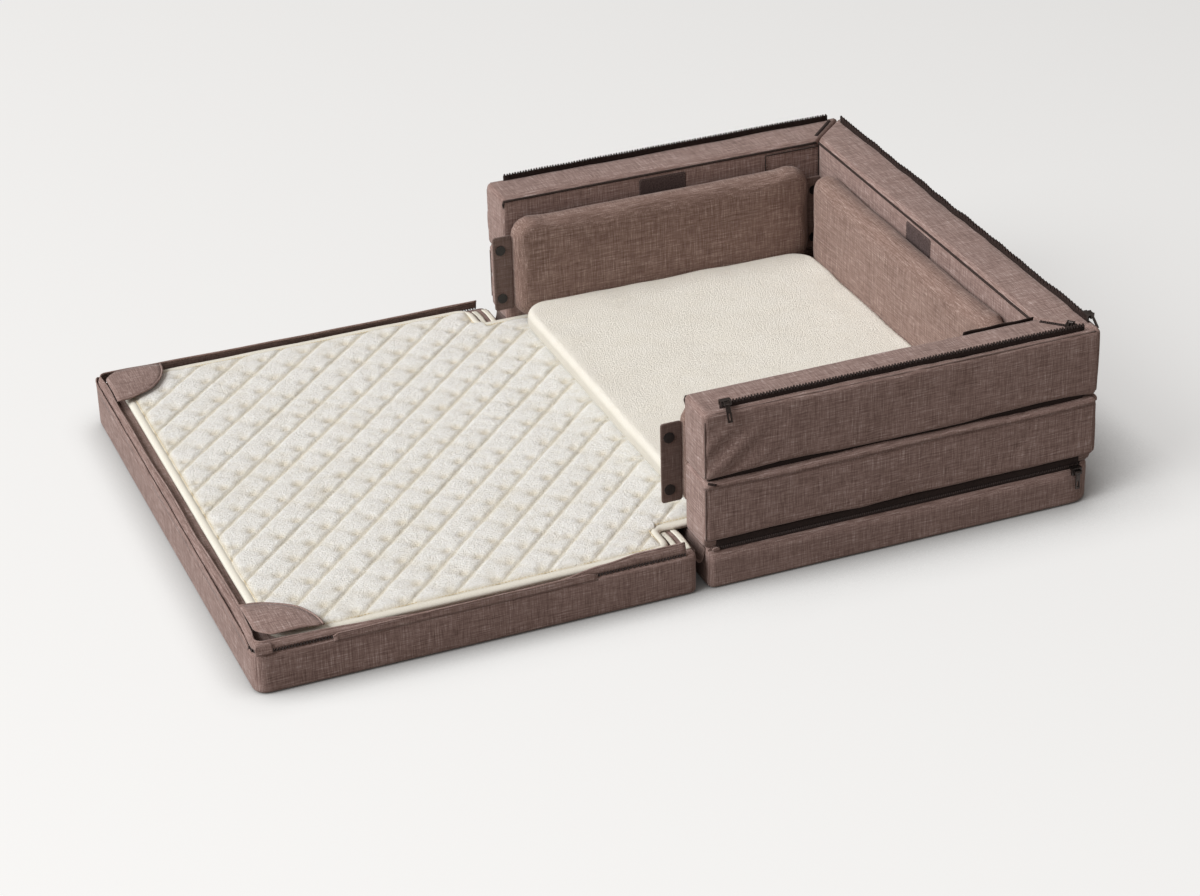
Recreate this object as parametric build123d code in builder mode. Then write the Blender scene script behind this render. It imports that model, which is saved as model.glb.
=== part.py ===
from build123d import *
from collections import namedtuple
import math
import os

# Folding sofa bed, opened flat. All lengths are in millimetres.
# Origin: middle of the seat slab's underside, on the floor. +X runs from the leaf to the seat's
# back, +Y to the far side, +Z up.

# Overall sizes
bed_width = 640.0
seat_length = 457.0
leaf_length = 480.0
seam_gap = 13.0
slab_height = 48.0
wall_top = 208.0
wall_thickness = 53.0
waist_height = 129.0

# Fabric, foam and running clearances
cover_thickness = 1.6
core_clearance = 0.2
soft_clearance = 0.3
fold_clearance = 0.3
overrun = 2.0
edge_steps = 2
bevel_share = 0.6

# Slabs
outer_corner_round = 26.0
seam_corner_round = 8.0
slab_edge_round = 6.0
rebate_depth = 5.0
band_low = 43.5
band_high = 57.0

# Walls
wall_overhang = 4.0
mitre_gap = 0.4
wall_end_round = 7.0
side_crown = 1.5
bulge_share = 0.6
waist_round = 6.0
lip_round = 2.5
top_round = 4.0
inner_foot_round = 4.0

# Band tape round the seat and its fabric end tabs
tape_thickness = 1.2
band_end_gap = 14.0
end_tab_length = 9.0
end_tab_thickness = 1.6

# Concealed zip in the wall's waist
waist_zip_low_depth = 1.0
waist_zip_high_depth = 3.0
waist_zip_height = 1.2
waist_zip_end_gap = 8.0
waist_zip_corner_gap = 12.0

# Standing zip on the wall's outer top edge
zip_depth = 6.0
zip_start_gap = 20.0
zip_corner_gap = 18.0
zip_tape_height = 5.5
chain_thickness = 2.6
chain_rail_height = 1.2
tooth_height = 1.6
tooth_pitch = 6.0

# Zip beside the mitred corner
mitre_zip_width = 4.0
mitre_zip_inset = 6.0
mitre_zip_inner_gap = 7.0
mitre_zip_outer_gap = 18.0

# Sliders and pulls
slider_length = 12.0
slider_wall = 1.5
slider_crown = 1.2
slider_clearance = 0.4
slider_grip = 1.0
slider_start_gap = 6.0
mitre_slider_gap = 15.0
band_slider_low = 38.0
band_slider_high = 46.4
band_slider_thickness = 2.8
band_slider_end_gap = 24.0
ear_thickness = 1.2
ear_width = 3.6
ear_crown = 1.6
pin_radius = 0.8
pull_bore_clearance = 0.3
pull_sleeve_wall = 0.8
pull_side_clearance = 0.4
pull_width = 5.0
pull_thickness = 1.6
pull_length = 20.0
pull_hole_length = 7.0
pull_hole_width = 2.0
pull_hole_margin = 6.0
top_pull_angle = 245.0
mitre_pull_length = 12.0
mitre_pull_angle = 192.0
band_pull_angle = 180.0

# Hook patches and corner flaps on the walls' inner faces
patch_width = 60.0
patch_height = 27.0
patch_top_gap = 8.5
patch_thickness = 1.2
patch_x = -29.5
corner_flap_length = 71.0
corner_flap_height = 43.0
corner_flap_top_gap = 8.0
corner_flap_thickness = 1.6

# Inner boards
board_gap = 4.0
board_front_setback = 1.0
rear_tab_room = 25.0
back_board_margin = 96.0
board_height = 126.0
board_thickness = 25.0
board_corner_round = 25.0
board_edge_round = 9.0

# Snap tabs and press studs
tab_length = 23.0
tab_height = 94.0
tab_low_gap = 13.0
tab_thickness = 1.6
tab_hinge_gap = 0.8
rear_tab_length = 20.0
stud_radius = 6.2
stud_thickness = 1.0
stud_low_gap = 15.0
stud_spacing = 62.0
stud_sides = 14
front_stud_reach = 13.8
rear_stud_reach = 11.0

# Quilted pad
pad_thickness = 13.0
pad_side_margin = 10.0
pad_end_margin = 22.0
pad_wall_gap = 1.0
pad_corner_round = 40.0
pad_notch_length = 30.0
pad_notch_round = 16.0
pad_binding_width = 10.0
pad_binding_height = 7.0
pad_edge_slope = 4.0
quilt_pitch = 50.0
quilt_groove_width = 14.0
quilt_groove_depth = 5.0

# Elastic straps at the pad's seam corners
strap_width = 6.0
strap_spacing = 12.0
strap_thickness = 1.2
strap_end_gap = 12.0

# Leaf's zip flap and corner pockets
flap_inset = 3.0
flap_lean = 4.5
flap_height = 10.8
flap_thickness = 1.4
flap_seam_gap = 12.0
leaf_chain_height = 2.0
leaf_chain_width = 2.4
pocket_inset = 9.0
pocket_radius = 68.0
pocket_thickness = 1.2

# Hinge web
web_thickness = 1.2
web_depth = 16.0
web_top_gap = 2.0
web_end_gap = 10.0

# Fleece mat
mat_front_setback = 3.0
mat_board_gap = 2.0
mat_thickness = 22.0
mat_corner_round = 30.0
mat_top_round = 8.0
mat_foot_round = 5.0

# Places worked out from the sizes above
side = bed_width / 2
seat_front = -seat_length / 2
seat_back = seat_length / 2
leaf_back = seat_front - seam_gap
leaf_end = leaf_back - leaf_length
seam = seat_front - seam_gap / 2
pad_top = slab_height + pad_thickness
wall_base = slab_height + fold_clearance
wall_front = seat_front - wall_overhang
board_low = pad_top + soft_clearance
board_depth = wall_thickness + board_gap
board_front = seat_front + board_front_setback
board_back = seat_back - wall_thickness - rear_tab_room
board_length = board_back - board_front
back_board_length = bed_width - 2 * back_board_margin
chain_low = wall_top + zip_tape_height
chain_top = chain_low + chain_rail_height + tooth_height
diagonal = math.sqrt(2)

os.makedirs("parts", exist_ok=True)


def keep(part, name):
    """Label a finished piece and write it to its own file."""
    part.label = name
    export_step(part, "parts/" + name + ".step")


# Padded forms


def edge_levels(start, direction, radius, steps):
    """Levels and insets that follow a rounded edge, from a face at the start level inwards."""
    turns = [math.radians(90 * step / steps) for step in range(steps + 1)]
    return [
        (start + direction * radius * (1 - math.cos(turn)), radius * (1 - math.sin(turn)))
        for turn in turns
    ]


def padded_form(plane, plan, levels):
    """A form of tapering layers, from one plan that is drawn in by a given inset at each level."""
    plans = [plan(inset) for level, inset in levels]
    with BuildPart() as form:
        for (low, inset), (high, next_inset), sketch in zip(levels, levels[1:], plans):
            with BuildSketch(plane.offset(low)):
                add(sketch)
            lean = math.degrees(math.atan2(next_inset - inset, high - low))
            extrude(amount=high - low, taper=lean)
    return form.part


def rounded_plan(middle, size, corner_round):
    """A function that gives a rounded rectangle, drawn in by an inset."""

    def plan(inset):
        with BuildSketch() as sketch:
            with Locations(middle):
                RectangleRounded(size[0] - 2 * inset, size[1] - 2 * inset, corner_round - inset)
        return sketch.sketch

    return plan


def core_plan(middle, size, corner_round):
    """A function that gives a rectangle with its corners cut off to fit inside a rounded one."""

    def plan(inset):
        with BuildSketch() as sketch:
            with Locations(middle):
                Rectangle(size[0] - 2 * inset, size[1] - 2 * inset)
            chamfer(sketch.vertices(), length=bevel_share * (corner_round - inset))
        return sketch.sketch

    return plan


# Seat and leaf slabs


def slab_plan(x_low, x_high, half_width, low_round, high_round):
    """Plan of a slab, with one rounding at its low X corners and one at its high X corners."""
    with BuildSketch() as plan:
        with BuildLine():
            FilletPolyline(
                (x_low, -half_width),
                (x_high, -half_width),
                (x_high, half_width),
                (x_low, half_width),
                radius=(low_round, high_round, high_round, low_round),
                close=True,
            )
        make_face()
    return plan.sketch


def slab_outside(x_low, x_high, low_round, high_round):
    """A slab with a bevelled foot."""

    def plan(inset):
        return slab_plan(
            x_low + inset, x_high - inset, side - inset, low_round - inset, high_round - inset
        )

    levels = edge_levels(0, 1, bevel_share * slab_edge_round, 1) + [(slab_height, 0)]
    return padded_form(Plane.XY, plan, levels)


def slab_inside(x_low, x_high, inset):
    """The room inside a slab, or its foam, drawn in by an inset."""
    middle = ((x_low + x_high) / 2, 0)
    plan = core_plan(middle, (x_high - x_low - 2 * inset, bed_width - 2 * inset), outer_corner_round)
    levels = edge_levels(inset, 1, bevel_share * slab_edge_round, 1)
    return padded_form(Plane.XY, plan, levels + [(slab_height - inset, 0)])


def seat_rebate(inset):
    """What is cut from the seat's outer top edge, so that the band lies back in a rebate."""
    top_inset = rebate_depth + inset
    top_plan = slab_plan(
        seat_front - overrun,
        seat_back - top_inset,
        side - top_inset,
        0,
        outer_corner_round - top_inset,
    )
    with BuildPart() as rebate:
        with BuildSketch(Plane.XY.offset(band_low - inset)):
            Rectangle(2 * seat_length, 2 * bed_width)
            add(top_plan, mode=Mode.SUBTRACT)
        extrude(amount=slab_height)
    return rebate.part


seat_outside = slab_outside(seat_front, seat_back, seam_corner_round, outer_corner_round)
outer_rebate = seat_rebate(0)


def seat_inside(inset):
    """The room inside the seat, or its foam, clear of the rebate."""
    block = slab_inside(seat_front, seat_back, inset)
    rebate = seat_rebate(inset)
    with BuildPart() as inside:
        add(block)
        add(rebate, mode=Mode.SUBTRACT)
    return inside.part


seat_hollow = seat_inside(cover_thickness)
with BuildPart() as seat_cover:
    add(seat_outside)
    add(outer_rebate, mode=Mode.SUBTRACT)
    add(seat_hollow, mode=Mode.SUBTRACT)
keep(seat_cover.part, "seat_cover")
keep(seat_inside(cover_thickness + core_clearance), "seat_core")

leaf_outside = slab_outside(leaf_end, leaf_back, outer_corner_round, seam_corner_round)
leaf_hollow = slab_inside(leaf_end, leaf_back, cover_thickness)
with BuildPart() as leaf_cover:
    add(leaf_outside)
    add(leaf_hollow, mode=Mode.SUBTRACT)
keep(leaf_cover.part, "leaf_cover")
keep(slab_inside(leaf_end, leaf_back, cover_thickness + core_clearance), "leaf_core")

# Lower half of the band tape, a strip that follows the seat's rebate on three sides
tape_face = rebate_depth - tape_thickness
band_outer = slab_plan(
    seat_front + band_end_gap,
    seat_back - tape_face,
    side - tape_face,
    0,
    outer_corner_round - tape_face,
)
band_inner = slab_plan(
    seat_front + band_end_gap - overrun,
    seat_back - rebate_depth,
    side - rebate_depth,
    0,
    outer_corner_round - rebate_depth,
)
with BuildPart() as seat_band_tape:
    with BuildSketch(Plane.XY.offset(band_low)):
        add(band_outer)
        add(band_inner, mode=Mode.SUBTRACT)
    extrude(amount=slab_height - band_low)
keep(seat_band_tape.part, "seat_band_tape")

# Fabric tabs that close the ends of the band, one at each side of the seam
end_tab_x = seat_front + band_end_gap - soft_clearance - end_tab_length / 2
end_tab_y = side - rebate_depth + end_tab_thickness / 2
with BuildPart() as band_end_tabs:
    with BuildSketch(Plane.XY.offset(band_low)):
        with Locations((end_tab_x, -end_tab_y), (end_tab_x, end_tab_y)):
            Rectangle(end_tab_length, end_tab_thickness)
    extrude(amount=slab_height - band_low)
keep(band_end_tabs.part, "band_end_tabs")

# Slack web in the seam, sewn to the seat's front and rising again beside the leaf
web_leaf_side = leaf_back + soft_clearance
web_high = slab_height - web_top_gap
web_low = web_high - web_depth
web_round = (seat_front - web_leaf_side) / 2 - soft_clearance
with BuildPart() as hinge_web:
    with BuildSketch(Plane.XZ):
        with BuildLine():
            FilletPolyline(
                (web_leaf_side, web_high),
                (web_leaf_side, web_low),
                (seat_front, web_low),
                (seat_front, web_high),
                radius=(0, web_round, web_round, 0),
                close=True,
            )
        make_face()
        with BuildLine():
            FilletPolyline(
                (web_leaf_side + web_thickness, web_high + overrun),
                (web_leaf_side + web_thickness, web_low + web_thickness),
                (seat_front - web_thickness, web_low + web_thickness),
                (seat_front - web_thickness, web_high + overrun),
                radius=(0, web_round - web_thickness, web_round - web_thickness, 0),
                close=True,
            )
        make_face(mode=Mode.SUBTRACT)
    extrude(amount=side - web_end_gap, both=True)
keep(hinge_web.part, "hinge_web")

# Zip on the leaf's edge on three sides: its chain, and a flap that stands on it and leans in


def leaf_ring(low_inset, high_inset, seam_end):
    """A solid over the leaf's plan, from one inset at the flap's foot to another at its top."""
    low_plan = slab_plan(
        leaf_end + low_inset, seam_end, side - low_inset, outer_corner_round - low_inset, 0
    )
    high_plan = slab_plan(
        leaf_end + high_inset, seam_end, side - high_inset, outer_corner_round - high_inset, 0
    )
    with BuildPart() as ring:
        with BuildSketch(Plane.XY.offset(flap_foot)):
            add(low_plan)
        with BuildSketch(Plane.XY.offset(flap_foot + flap_height)):
            add(high_plan)
        loft(ruled=True)
    return ring.part


flap_foot = slab_height + leaf_chain_height
flap_top_inset = flap_inset + flap_lean
flap_seam_end = leaf_back - flap_seam_gap
flap_outside = leaf_ring(flap_inset, flap_top_inset, flap_seam_end)
flap_hollow = leaf_ring(
    flap_inset + flap_thickness, flap_top_inset + flap_thickness, flap_seam_end + overrun
)
with BuildPart() as leaf_flap:
    add(flap_outside)
    add(flap_hollow, mode=Mode.SUBTRACT)
keep(leaf_flap.part, "leaf_flap")

chain_overhang = (leaf_chain_width - flap_thickness) / 2
chain_outer_inset = flap_inset - chain_overhang
chain_inner_inset = chain_outer_inset + leaf_chain_width
leaf_chain_outside = slab_plan(
    leaf_end + chain_outer_inset,
    flap_seam_end,
    side - chain_outer_inset,
    outer_corner_round - chain_outer_inset,
    0,
)
leaf_chain_inside = slab_plan(
    leaf_end + chain_inner_inset,
    flap_seam_end + overrun,
    side - chain_inner_inset,
    outer_corner_round - chain_inner_inset,
    0,
)
with BuildPart() as leaf_chain:
    with BuildSketch(Plane.XY.offset(slab_height)):
        add(leaf_chain_outside)
        add(leaf_chain_inside, mode=Mode.SUBTRACT)
    extrude(amount=leaf_chain_height)
keep(leaf_chain.part, "leaf_chain")

# Quarter-round pockets that hold the pad's two outer corners
pocket_plan = slab_plan(
    leaf_end + pocket_inset, leaf_back, side - pocket_inset, outer_corner_round - pocket_inset, 0
)
for side_name, y_sign in (("near", -1), ("far", 1)):
    with BuildPart() as corner_pocket:
        with BuildSketch(Plane.XY.offset(pad_top + soft_clearance)):
            add(pocket_plan)
            with Locations((leaf_end + pocket_inset, y_sign * (side - pocket_inset))):
                Circle(pocket_radius, mode=Mode.INTERSECT)
        extrude(amount=pocket_thickness)
    keep(corner_pocket.part, side_name + "_corner_pocket")

# Quilted pad, in one piece on the leaf and one on the seat: a bound edge round a thicker
# quilted field that is sewn in diamonds
leaf_half = side - pad_side_margin
seat_half = side - wall_thickness - pad_wall_gap
notch_start = seam - pad_notch_length


def leaf_pad_outline(inset):
    """Outline of the leaf's pad and its rounds: full width, then narrowed between the walls."""
    end = leaf_end + pad_end_margin + inset
    points = (
        (end, -leaf_half + inset),
        (notch_start - inset, -leaf_half + inset),
        (notch_start - inset, -seat_half + inset),
        (seam - soft_clearance, -seat_half + inset),
        (seam - soft_clearance, seat_half - inset),
        (notch_start - inset, seat_half - inset),
        (notch_start - inset, leaf_half - inset),
        (end, leaf_half - inset),
    )
    corner = pad_corner_round - inset
    return points, (corner, pad_notch_round, 0, 0, 0, 0, pad_notch_round, corner)


def seat_pad_outline(inset):
    """Outline of the seat's pad and its rounds: it fills the floor between the three walls."""
    back = seat_back - wall_thickness - pad_wall_gap - inset
    points = (
        (seam + soft_clearance, -seat_half + inset),
        (back, -seat_half + inset),
        (back, seat_half - inset),
        (seam + soft_clearance, seat_half - inset),
    )
    return points, (0, 0, 0, 0)


def outline_face(points, rounds):
    """A plan face from points and the rounding at each."""
    with BuildSketch() as face:
        with BuildLine():
            FilletPolyline(*points, radius=rounds, close=True)
        make_face()
    return face.sketch


def quilted_pad(outline):
    """A bound pad with a thicker field; the field's grooves run along both diagonals."""
    whole = outline_face(*outline(0))
    field_low = outline_face(*outline(pad_binding_width))
    field_high = outline_face(*outline(pad_binding_width + pad_edge_slope))
    x_places = [point[0] for point in outline(0)[0]]
    reach = (max(x_places) - min(x_places)) / 2 + side
    count = 2 * math.ceil(reach / quilt_pitch) + 1
    middle = quilt_pitch * round((max(x_places) + min(x_places)) / 2 / quilt_pitch)
    half_groove = quilt_groove_width / 2 * (1 + overrun / quilt_groove_depth)
    with BuildPart() as pad:
        with BuildSketch(Plane.XY.offset(slab_height + pad_binding_height)):
            add(field_low)
        with BuildSketch(Plane.XY.offset(pad_top)):
            add(field_high)
        loft(ruled=True)
        with BuildSketch(Plane.XY.offset(slab_height)):
            add(whole)
        extrude(amount=pad_binding_height)
        for turn in (45, 135):
            along = Vector(1, 0, 0).rotate(Axis.Z, turn)
            across = along.rotate(Axis.Z, 90)
            with BuildSketch(Plane(origin=(middle, 0, pad_top), x_dir=across, z_dir=along)):
                with GridLocations(quilt_pitch / diagonal, 1, count, 1):
                    Polygon(
                        (-half_groove, overrun),
                        (half_groove, overrun),
                        (0, -quilt_groove_depth),
                        align=None,
                    )
            extrude(amount=2 * reach, both=True, mode=Mode.SUBTRACT)
    return pad.part


keep(quilted_pad(leaf_pad_outline), "pad_leaf")
keep(quilted_pad(seat_pad_outline), "pad_seat")

# Elastic straps from the pad's notches to the leaf's edge, two at each side
strap_start = seat_half + soft_clearance
strap_reach = side - strap_end_gap - strap_start
with BuildPart() as pad_straps:
    with BuildSketch(Plane.XY.offset(slab_height)):
        for y_sign in (-1, 1):
            for strap in range(2):
                strap_x = notch_start + strap_width + strap * strap_spacing
                with Locations((strap_x, y_sign * (strap_start + strap_reach / 2))):
                    Rectangle(strap_width, strap_reach)
    extrude(amount=strap_thickness)
keep(pad_straps.part, "pad_straps")

# Fleece mat on the seat's pad, between the boards
mat_front = seat_front + mat_front_setback
mat_back = seat_back - board_depth - board_thickness - mat_board_gap
mat_half = side - board_depth - board_thickness - mat_board_gap


mat_middle = ((mat_front + mat_back) / 2, 0)
mat_size = (mat_back - mat_front, 2 * mat_half)
mat_high = board_low + mat_thickness


def mat_inside(inset):
    """The room inside the mat, or its filling, drawn in by an inset."""
    size = (mat_size[0] - 2 * inset, mat_size[1] - 2 * inset)
    foot = edge_levels(board_low + inset, 1, bevel_share * mat_foot_round, 1)
    top = edge_levels(mat_high - inset, -1, bevel_share * mat_top_round, 1)
    return padded_form(Plane.XY, core_plan(mat_middle, size, mat_corner_round), foot + top[::-1])


mat_foot = edge_levels(board_low, 1, mat_foot_round, 1)
mat_top = edge_levels(mat_high, -1, mat_top_round, edge_steps)
mat_plan = rounded_plan(mat_middle, mat_size, mat_corner_round)
mat_outside = padded_form(Plane.XY, mat_plan, mat_foot + mat_top[::-1])
mat_hollow = mat_inside(cover_thickness)
with BuildPart() as mat_cover:
    add(mat_outside)
    add(mat_hollow, mode=Mode.SUBTRACT)
keep(mat_cover.part, "mat_cover")
keep(mat_inside(cover_thickness + core_clearance), "mat_core")

# Walls. Each runs along one edge of the seat, from a corner of it. Places on a wall are given as
# depth in from its outer face, height above the floor, and distance along it.
Wall = namedtuple("Wall", "name corner inward along length mitre_start mitre_end")
side_length = seat_back - wall_front
near_wall = Wall(
    "near", Vector(wall_front, -side, 0), Vector(0, 1, 0), Vector(1, 0, 0), side_length, False, True
)
far_wall = Wall(
    "far", Vector(seat_back, side, 0), Vector(0, -1, 0), Vector(-1, 0, 0), side_length, True, False
)
back_wall = Wall(
    "back", Vector(seat_back, -side, 0), Vector(-1, 0, 0), Vector(0, 1, 0), bed_width, True, True
)


def section_plane(wall, distance):
    """Plane across a wall: local X is depth, local Y is height."""
    origin = wall.corner + wall.along * distance
    return Plane(origin=origin, x_dir=wall.inward, z_dir=wall.along)


def face_plane(wall, depth):
    """Upright plane along a wall: local X is distance, local Y is height, and it faces out."""
    origin = wall.corner + wall.inward * depth
    return Plane(origin=origin, x_dir=wall.along, z_dir=wall.inward * -1)


def plan_plane(wall):
    """Level plane at a wall: local X is depth, local Y is distance, and it faces down."""
    return Plane(origin=wall.corner, x_dir=wall.inward, z_dir=(0, 0, -1))


def lower_bolster(inset):
    """Section of the lower bolster, with the rebate for the band at its outer foot."""
    low = band_high + inset
    high = waist_height - inset
    half = (high - low) / 2
    points = (
        (wall_thickness - inset, wall_base + inset),
        (rebate_depth + inset, wall_base + inset),
        (rebate_depth + inset, low),
        (side_crown + inset, low),
        (inset, low + half),
        (side_crown + inset, high),
        (wall_thickness - inset, high),
    )
    if inset > 0:
        return points, (0, 0, 0, 0, 0, waist_round - inset, 0)
    bulge = bulge_share * half**2 / side_crown
    return points, (inner_foot_round, 0, 0, lip_round, bulge, waist_round, 0)


def upper_bolster(inset):
    """Section of the upper bolster."""
    low = waist_height + inset
    high = wall_top - inset
    half = (high - low) / 2
    points = (
        (wall_thickness - inset, low),
        (side_crown + inset, low),
        (inset, low + half),
        (side_crown + inset, high),
        (wall_thickness - inset, high),
    )
    if inset > 0:
        return points, (0, waist_round - inset, 0, 0, 0)
    bulge = bulge_share * half**2 / side_crown
    return points, (0, waist_round, bulge, top_round, top_round)


def bolster_form(wall, section, inset):
    """A bolster along a wall, cut square and rounded at the seam, and mitred at the corners."""
    beyond = wall_thickness + overrun
    shift = mitre_gap + diagonal * inset
    start = ((-overrun, inset), (beyond, inset))
    end = ((beyond, wall.length - inset), (-overrun, wall.length - inset))
    if wall.mitre_start:
        start = ((-overrun, shift - overrun), (beyond, shift + beyond))
    if wall.mitre_end:
        far_end = wall.length - shift
        end = ((beyond, far_end - beyond), (-overrun, far_end + overrun))
    start_round = 0 if wall.mitre_start else wall_end_round
    end_round = 0 if wall.mitre_end else wall_end_round
    points, rounds = section(inset)
    with BuildPart() as form:
        with BuildSketch(section_plane(wall, -overrun)):
            with BuildLine():
                FilletPolyline(*points, radius=rounds, close=True)
            make_face()
        extrude(amount=wall.length + 2 * overrun)
        with BuildSketch(plan_plane(wall)):
            with BuildLine():
                FilletPolyline(
                    *start, *end, radius=(start_round, start_round, end_round, end_round), close=True
                )
            make_face()
        extrude(amount=wall_top + overrun, both=True, mode=Mode.INTERSECT)
    return form.part


def run_ends(wall, seam_margin, corner_margin):
    """Where a strip starts and ends on a wall, from its margins at the seam and at the corners."""
    start = corner_margin if wall.mitre_start else seam_margin
    end = wall.length - (corner_margin if wall.mitre_end else seam_margin)
    return start, end


def bar(wall, low_corner, high_corner, ends):
    """A straight strip along a wall, from two corners of its section and its two ends."""
    start, end = ends
    with BuildPart() as strip:
        with BuildSketch(section_plane(wall, start)):
            with Locations(low_corner):
                Rectangle(
                    high_corner[0] - low_corner[0],
                    high_corner[1] - low_corner[1],
                    align=(Align.MIN, Align.MIN),
                )
        extrude(amount=end - start)
    return strip.part


def standing_zip(wall):
    """Half a toothed zip that stands on the wall's top: its tape, and a chain with teeth."""
    start, end = run_ends(wall, zip_start_gap, zip_corner_gap)
    teeth = math.floor((end - start) / tooth_pitch)
    rail_top = chain_low + chain_rail_height
    zigzag = [(start, rail_top)]
    for tooth in range(teeth):
        valley = start + tooth * tooth_pitch
        zigzag.append((valley + tooth_pitch / 2, chain_top))
        zigzag.append((valley + tooth_pitch, rail_top))
    with BuildPart() as zip_half:
        with BuildSketch(face_plane(wall, zip_depth - tape_thickness / 2)):
            with Locations(((start + end) / 2, (wall_top + chain_low) / 2)):
                Rectangle(end - start, zip_tape_height)
        extrude(amount=-tape_thickness)
        with BuildSketch(face_plane(wall, zip_depth - chain_thickness / 2)):
            with BuildLine():
                Polyline((start, chain_low), *zigzag, (end, rail_top), (end, chain_low), close=True)
            make_face()
        extrude(amount=-chain_thickness)
    return zip_half.part


patch_middles = {"near": patch_x - wall_front, "far": seat_back - patch_x, "back": side}

for wall in (near_wall, far_wall, back_wall):
    sections = (lower_bolster, upper_bolster)
    outside = [bolster_form(wall, section, 0) for section in sections]
    hollows = [bolster_form(wall, section, cover_thickness) for section in sections]
    with BuildPart() as wall_cover:
        add(outside)
        add(hollows, mode=Mode.SUBTRACT)
    keep(wall_cover.part, wall.name + "_wall_cover")

    cores = [bolster_form(wall, section, cover_thickness + core_clearance) for section in sections]
    with BuildPart() as wall_core:
        add(cores)
    keep(wall_core.part, wall.name + "_wall_core")

    waist_zip = bar(
        wall,
        (side_crown + waist_zip_low_depth, waist_height - waist_zip_height / 2),
        (side_crown + waist_zip_high_depth, waist_height + waist_zip_height / 2),
        run_ends(wall, waist_zip_end_gap, waist_zip_corner_gap),
    )
    keep(waist_zip, wall.name + "_waist_zip")

    wall_band_tape = bar(
        wall,
        (tape_face, wall_base),
        (rebate_depth, band_high - soft_clearance),
        run_ends(wall, band_end_gap, band_end_gap),
    )
    keep(wall_band_tape, wall.name + "_band_tape")

    keep(standing_zip(wall), wall.name + "_top_zip")

    with BuildPart() as hook_patch:
        with BuildSketch(face_plane(wall, wall_thickness)):
            with Locations((patch_middles[wall.name], wall_top - patch_top_gap - patch_height / 2)):
                Rectangle(patch_width, patch_height)
        extrude(amount=-patch_thickness)
    keep(hook_patch.part, wall.name + "_hook_patch")

# Corner flaps on the side walls' inner faces, and zips on their tops beside the mitres.
# The last value points from the mitred corner back along the wall.
side_corners = (
    (near_wall, near_wall.length - wall_thickness, -1),
    (far_wall, wall_thickness, 1),
)
mitre_run = wall_thickness * diagonal - mitre_zip_inner_gap - mitre_zip_outer_gap


def mitre_plane(wall, corner_distance, back_sign, reach):
    """Plane across the mitre zip on the wall's top: local X is across it, local Y is up."""
    outward = (wall.inward * -1 - wall.along * back_sign).normalized()
    aside = (wall.inward * -1 + wall.along * back_sign).normalized()
    inner_corner = wall.corner + wall.inward * wall_thickness + wall.along * corner_distance
    origin = inner_corner + aside * mitre_zip_inset + outward * reach + Vector(0, 0, wall_top)
    return Plane(origin=origin, x_dir=aside * back_sign, z_dir=outward)


for wall, corner_distance, back_sign in side_corners:
    flap_middle = corner_distance + back_sign * (corner_flap_length / 2 + soft_clearance)
    with BuildPart() as corner_flap:
        with BuildSketch(face_plane(wall, wall_thickness)):
            with Locations((flap_middle, wall_top - corner_flap_top_gap - corner_flap_height / 2)):
                Rectangle(corner_flap_length, corner_flap_height)
        extrude(amount=-corner_flap_thickness)
    keep(corner_flap.part, wall.name + "_corner_flap")

    with BuildPart() as mitre_zip:
        with BuildSketch(mitre_plane(wall, corner_distance, back_sign, mitre_zip_inner_gap)):
            with Locations((0, tape_thickness / 2)):
                Rectangle(mitre_zip_width, tape_thickness)
        extrude(amount=mitre_run)
    keep(mitre_zip.part, wall.name + "_mitre_zip")

# Inner boards: padded panels that stand on the pad inside the walls


def board_plane(wall):
    """Upright plane on a board's outer face, facing into the bed: local Y is height."""
    origin = wall.corner + wall.inward * board_depth
    return Plane(origin=origin, x_dir=wall.along * -1, z_dir=wall.inward)


def board_outside_form(wall, middle, size):
    """A board with rounded corners and bevelled edges."""
    outer = edge_levels(0, 1, bevel_share * board_edge_round, 1)
    inner = edge_levels(board_thickness, -1, bevel_share * board_edge_round, 1)
    plan = rounded_plan(middle, size, board_corner_round)
    return padded_form(board_plane(wall), plan, outer + inner[::-1])


def board_inside(wall, middle, size, inset):
    """The room inside a board, or its core, drawn in by an inset."""
    outer = edge_levels(inset, 1, bevel_share * board_edge_round, 1)
    inner = edge_levels(board_thickness - inset, -1, bevel_share * board_edge_round, 1)
    plan = core_plan(middle, (size[0] - 2 * inset, size[1] - 2 * inset), board_corner_round)
    return padded_form(board_plane(wall), plan, outer + inner[::-1])


boards = (
    (near_wall, board_front - wall_front, board_length),
    (far_wall, seat_back - board_back, board_length),
    (back_wall, back_board_margin, back_board_length),
)
for wall, start, length in boards:
    middle = (-start - length / 2, board_low + board_height / 2)
    board_size = (length, board_height)
    board_outside = board_outside_form(wall, middle, board_size)
    board_hollow = board_inside(wall, middle, board_size, cover_thickness)
    with BuildPart() as board_cover:
        add(board_outside)
        add(board_hollow, mode=Mode.SUBTRACT)
    keep(board_cover.part, wall.name + "_board_cover")
    board_core = board_inside(wall, middle, board_size, cover_thickness + core_clearance)
    keep(board_core, wall.name + "_board_core")

# Snap tabs on the ends of the side boards. The front ones swing on their hem; the rear ones
# reach behind the back board's ends. Each has two press studs, with a cap on either face.
tab_low = pad_top + tab_low_gap
tab_hinge_x = board_front - tab_hinge_gap - tab_thickness / 2
tab_depth = board_depth + board_thickness / 2


def stud_caps(x, y):
    """The caps of a tab's two press studs, on both faces of the tab."""
    with BuildPart() as caps:
        for facing in (-1, 1):
            origin = (x, y + facing * tab_thickness / 2, tab_low + stud_low_gap)
            with BuildSketch(Plane(origin=origin, x_dir=(1, 0, 0), z_dir=(0, facing, 0))):
                with Locations((0, 0), (0, -facing * stud_spacing)):
                    RegularPolygon(stud_radius, stud_sides)
            extrude(amount=stud_thickness)
    return caps.part


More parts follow.
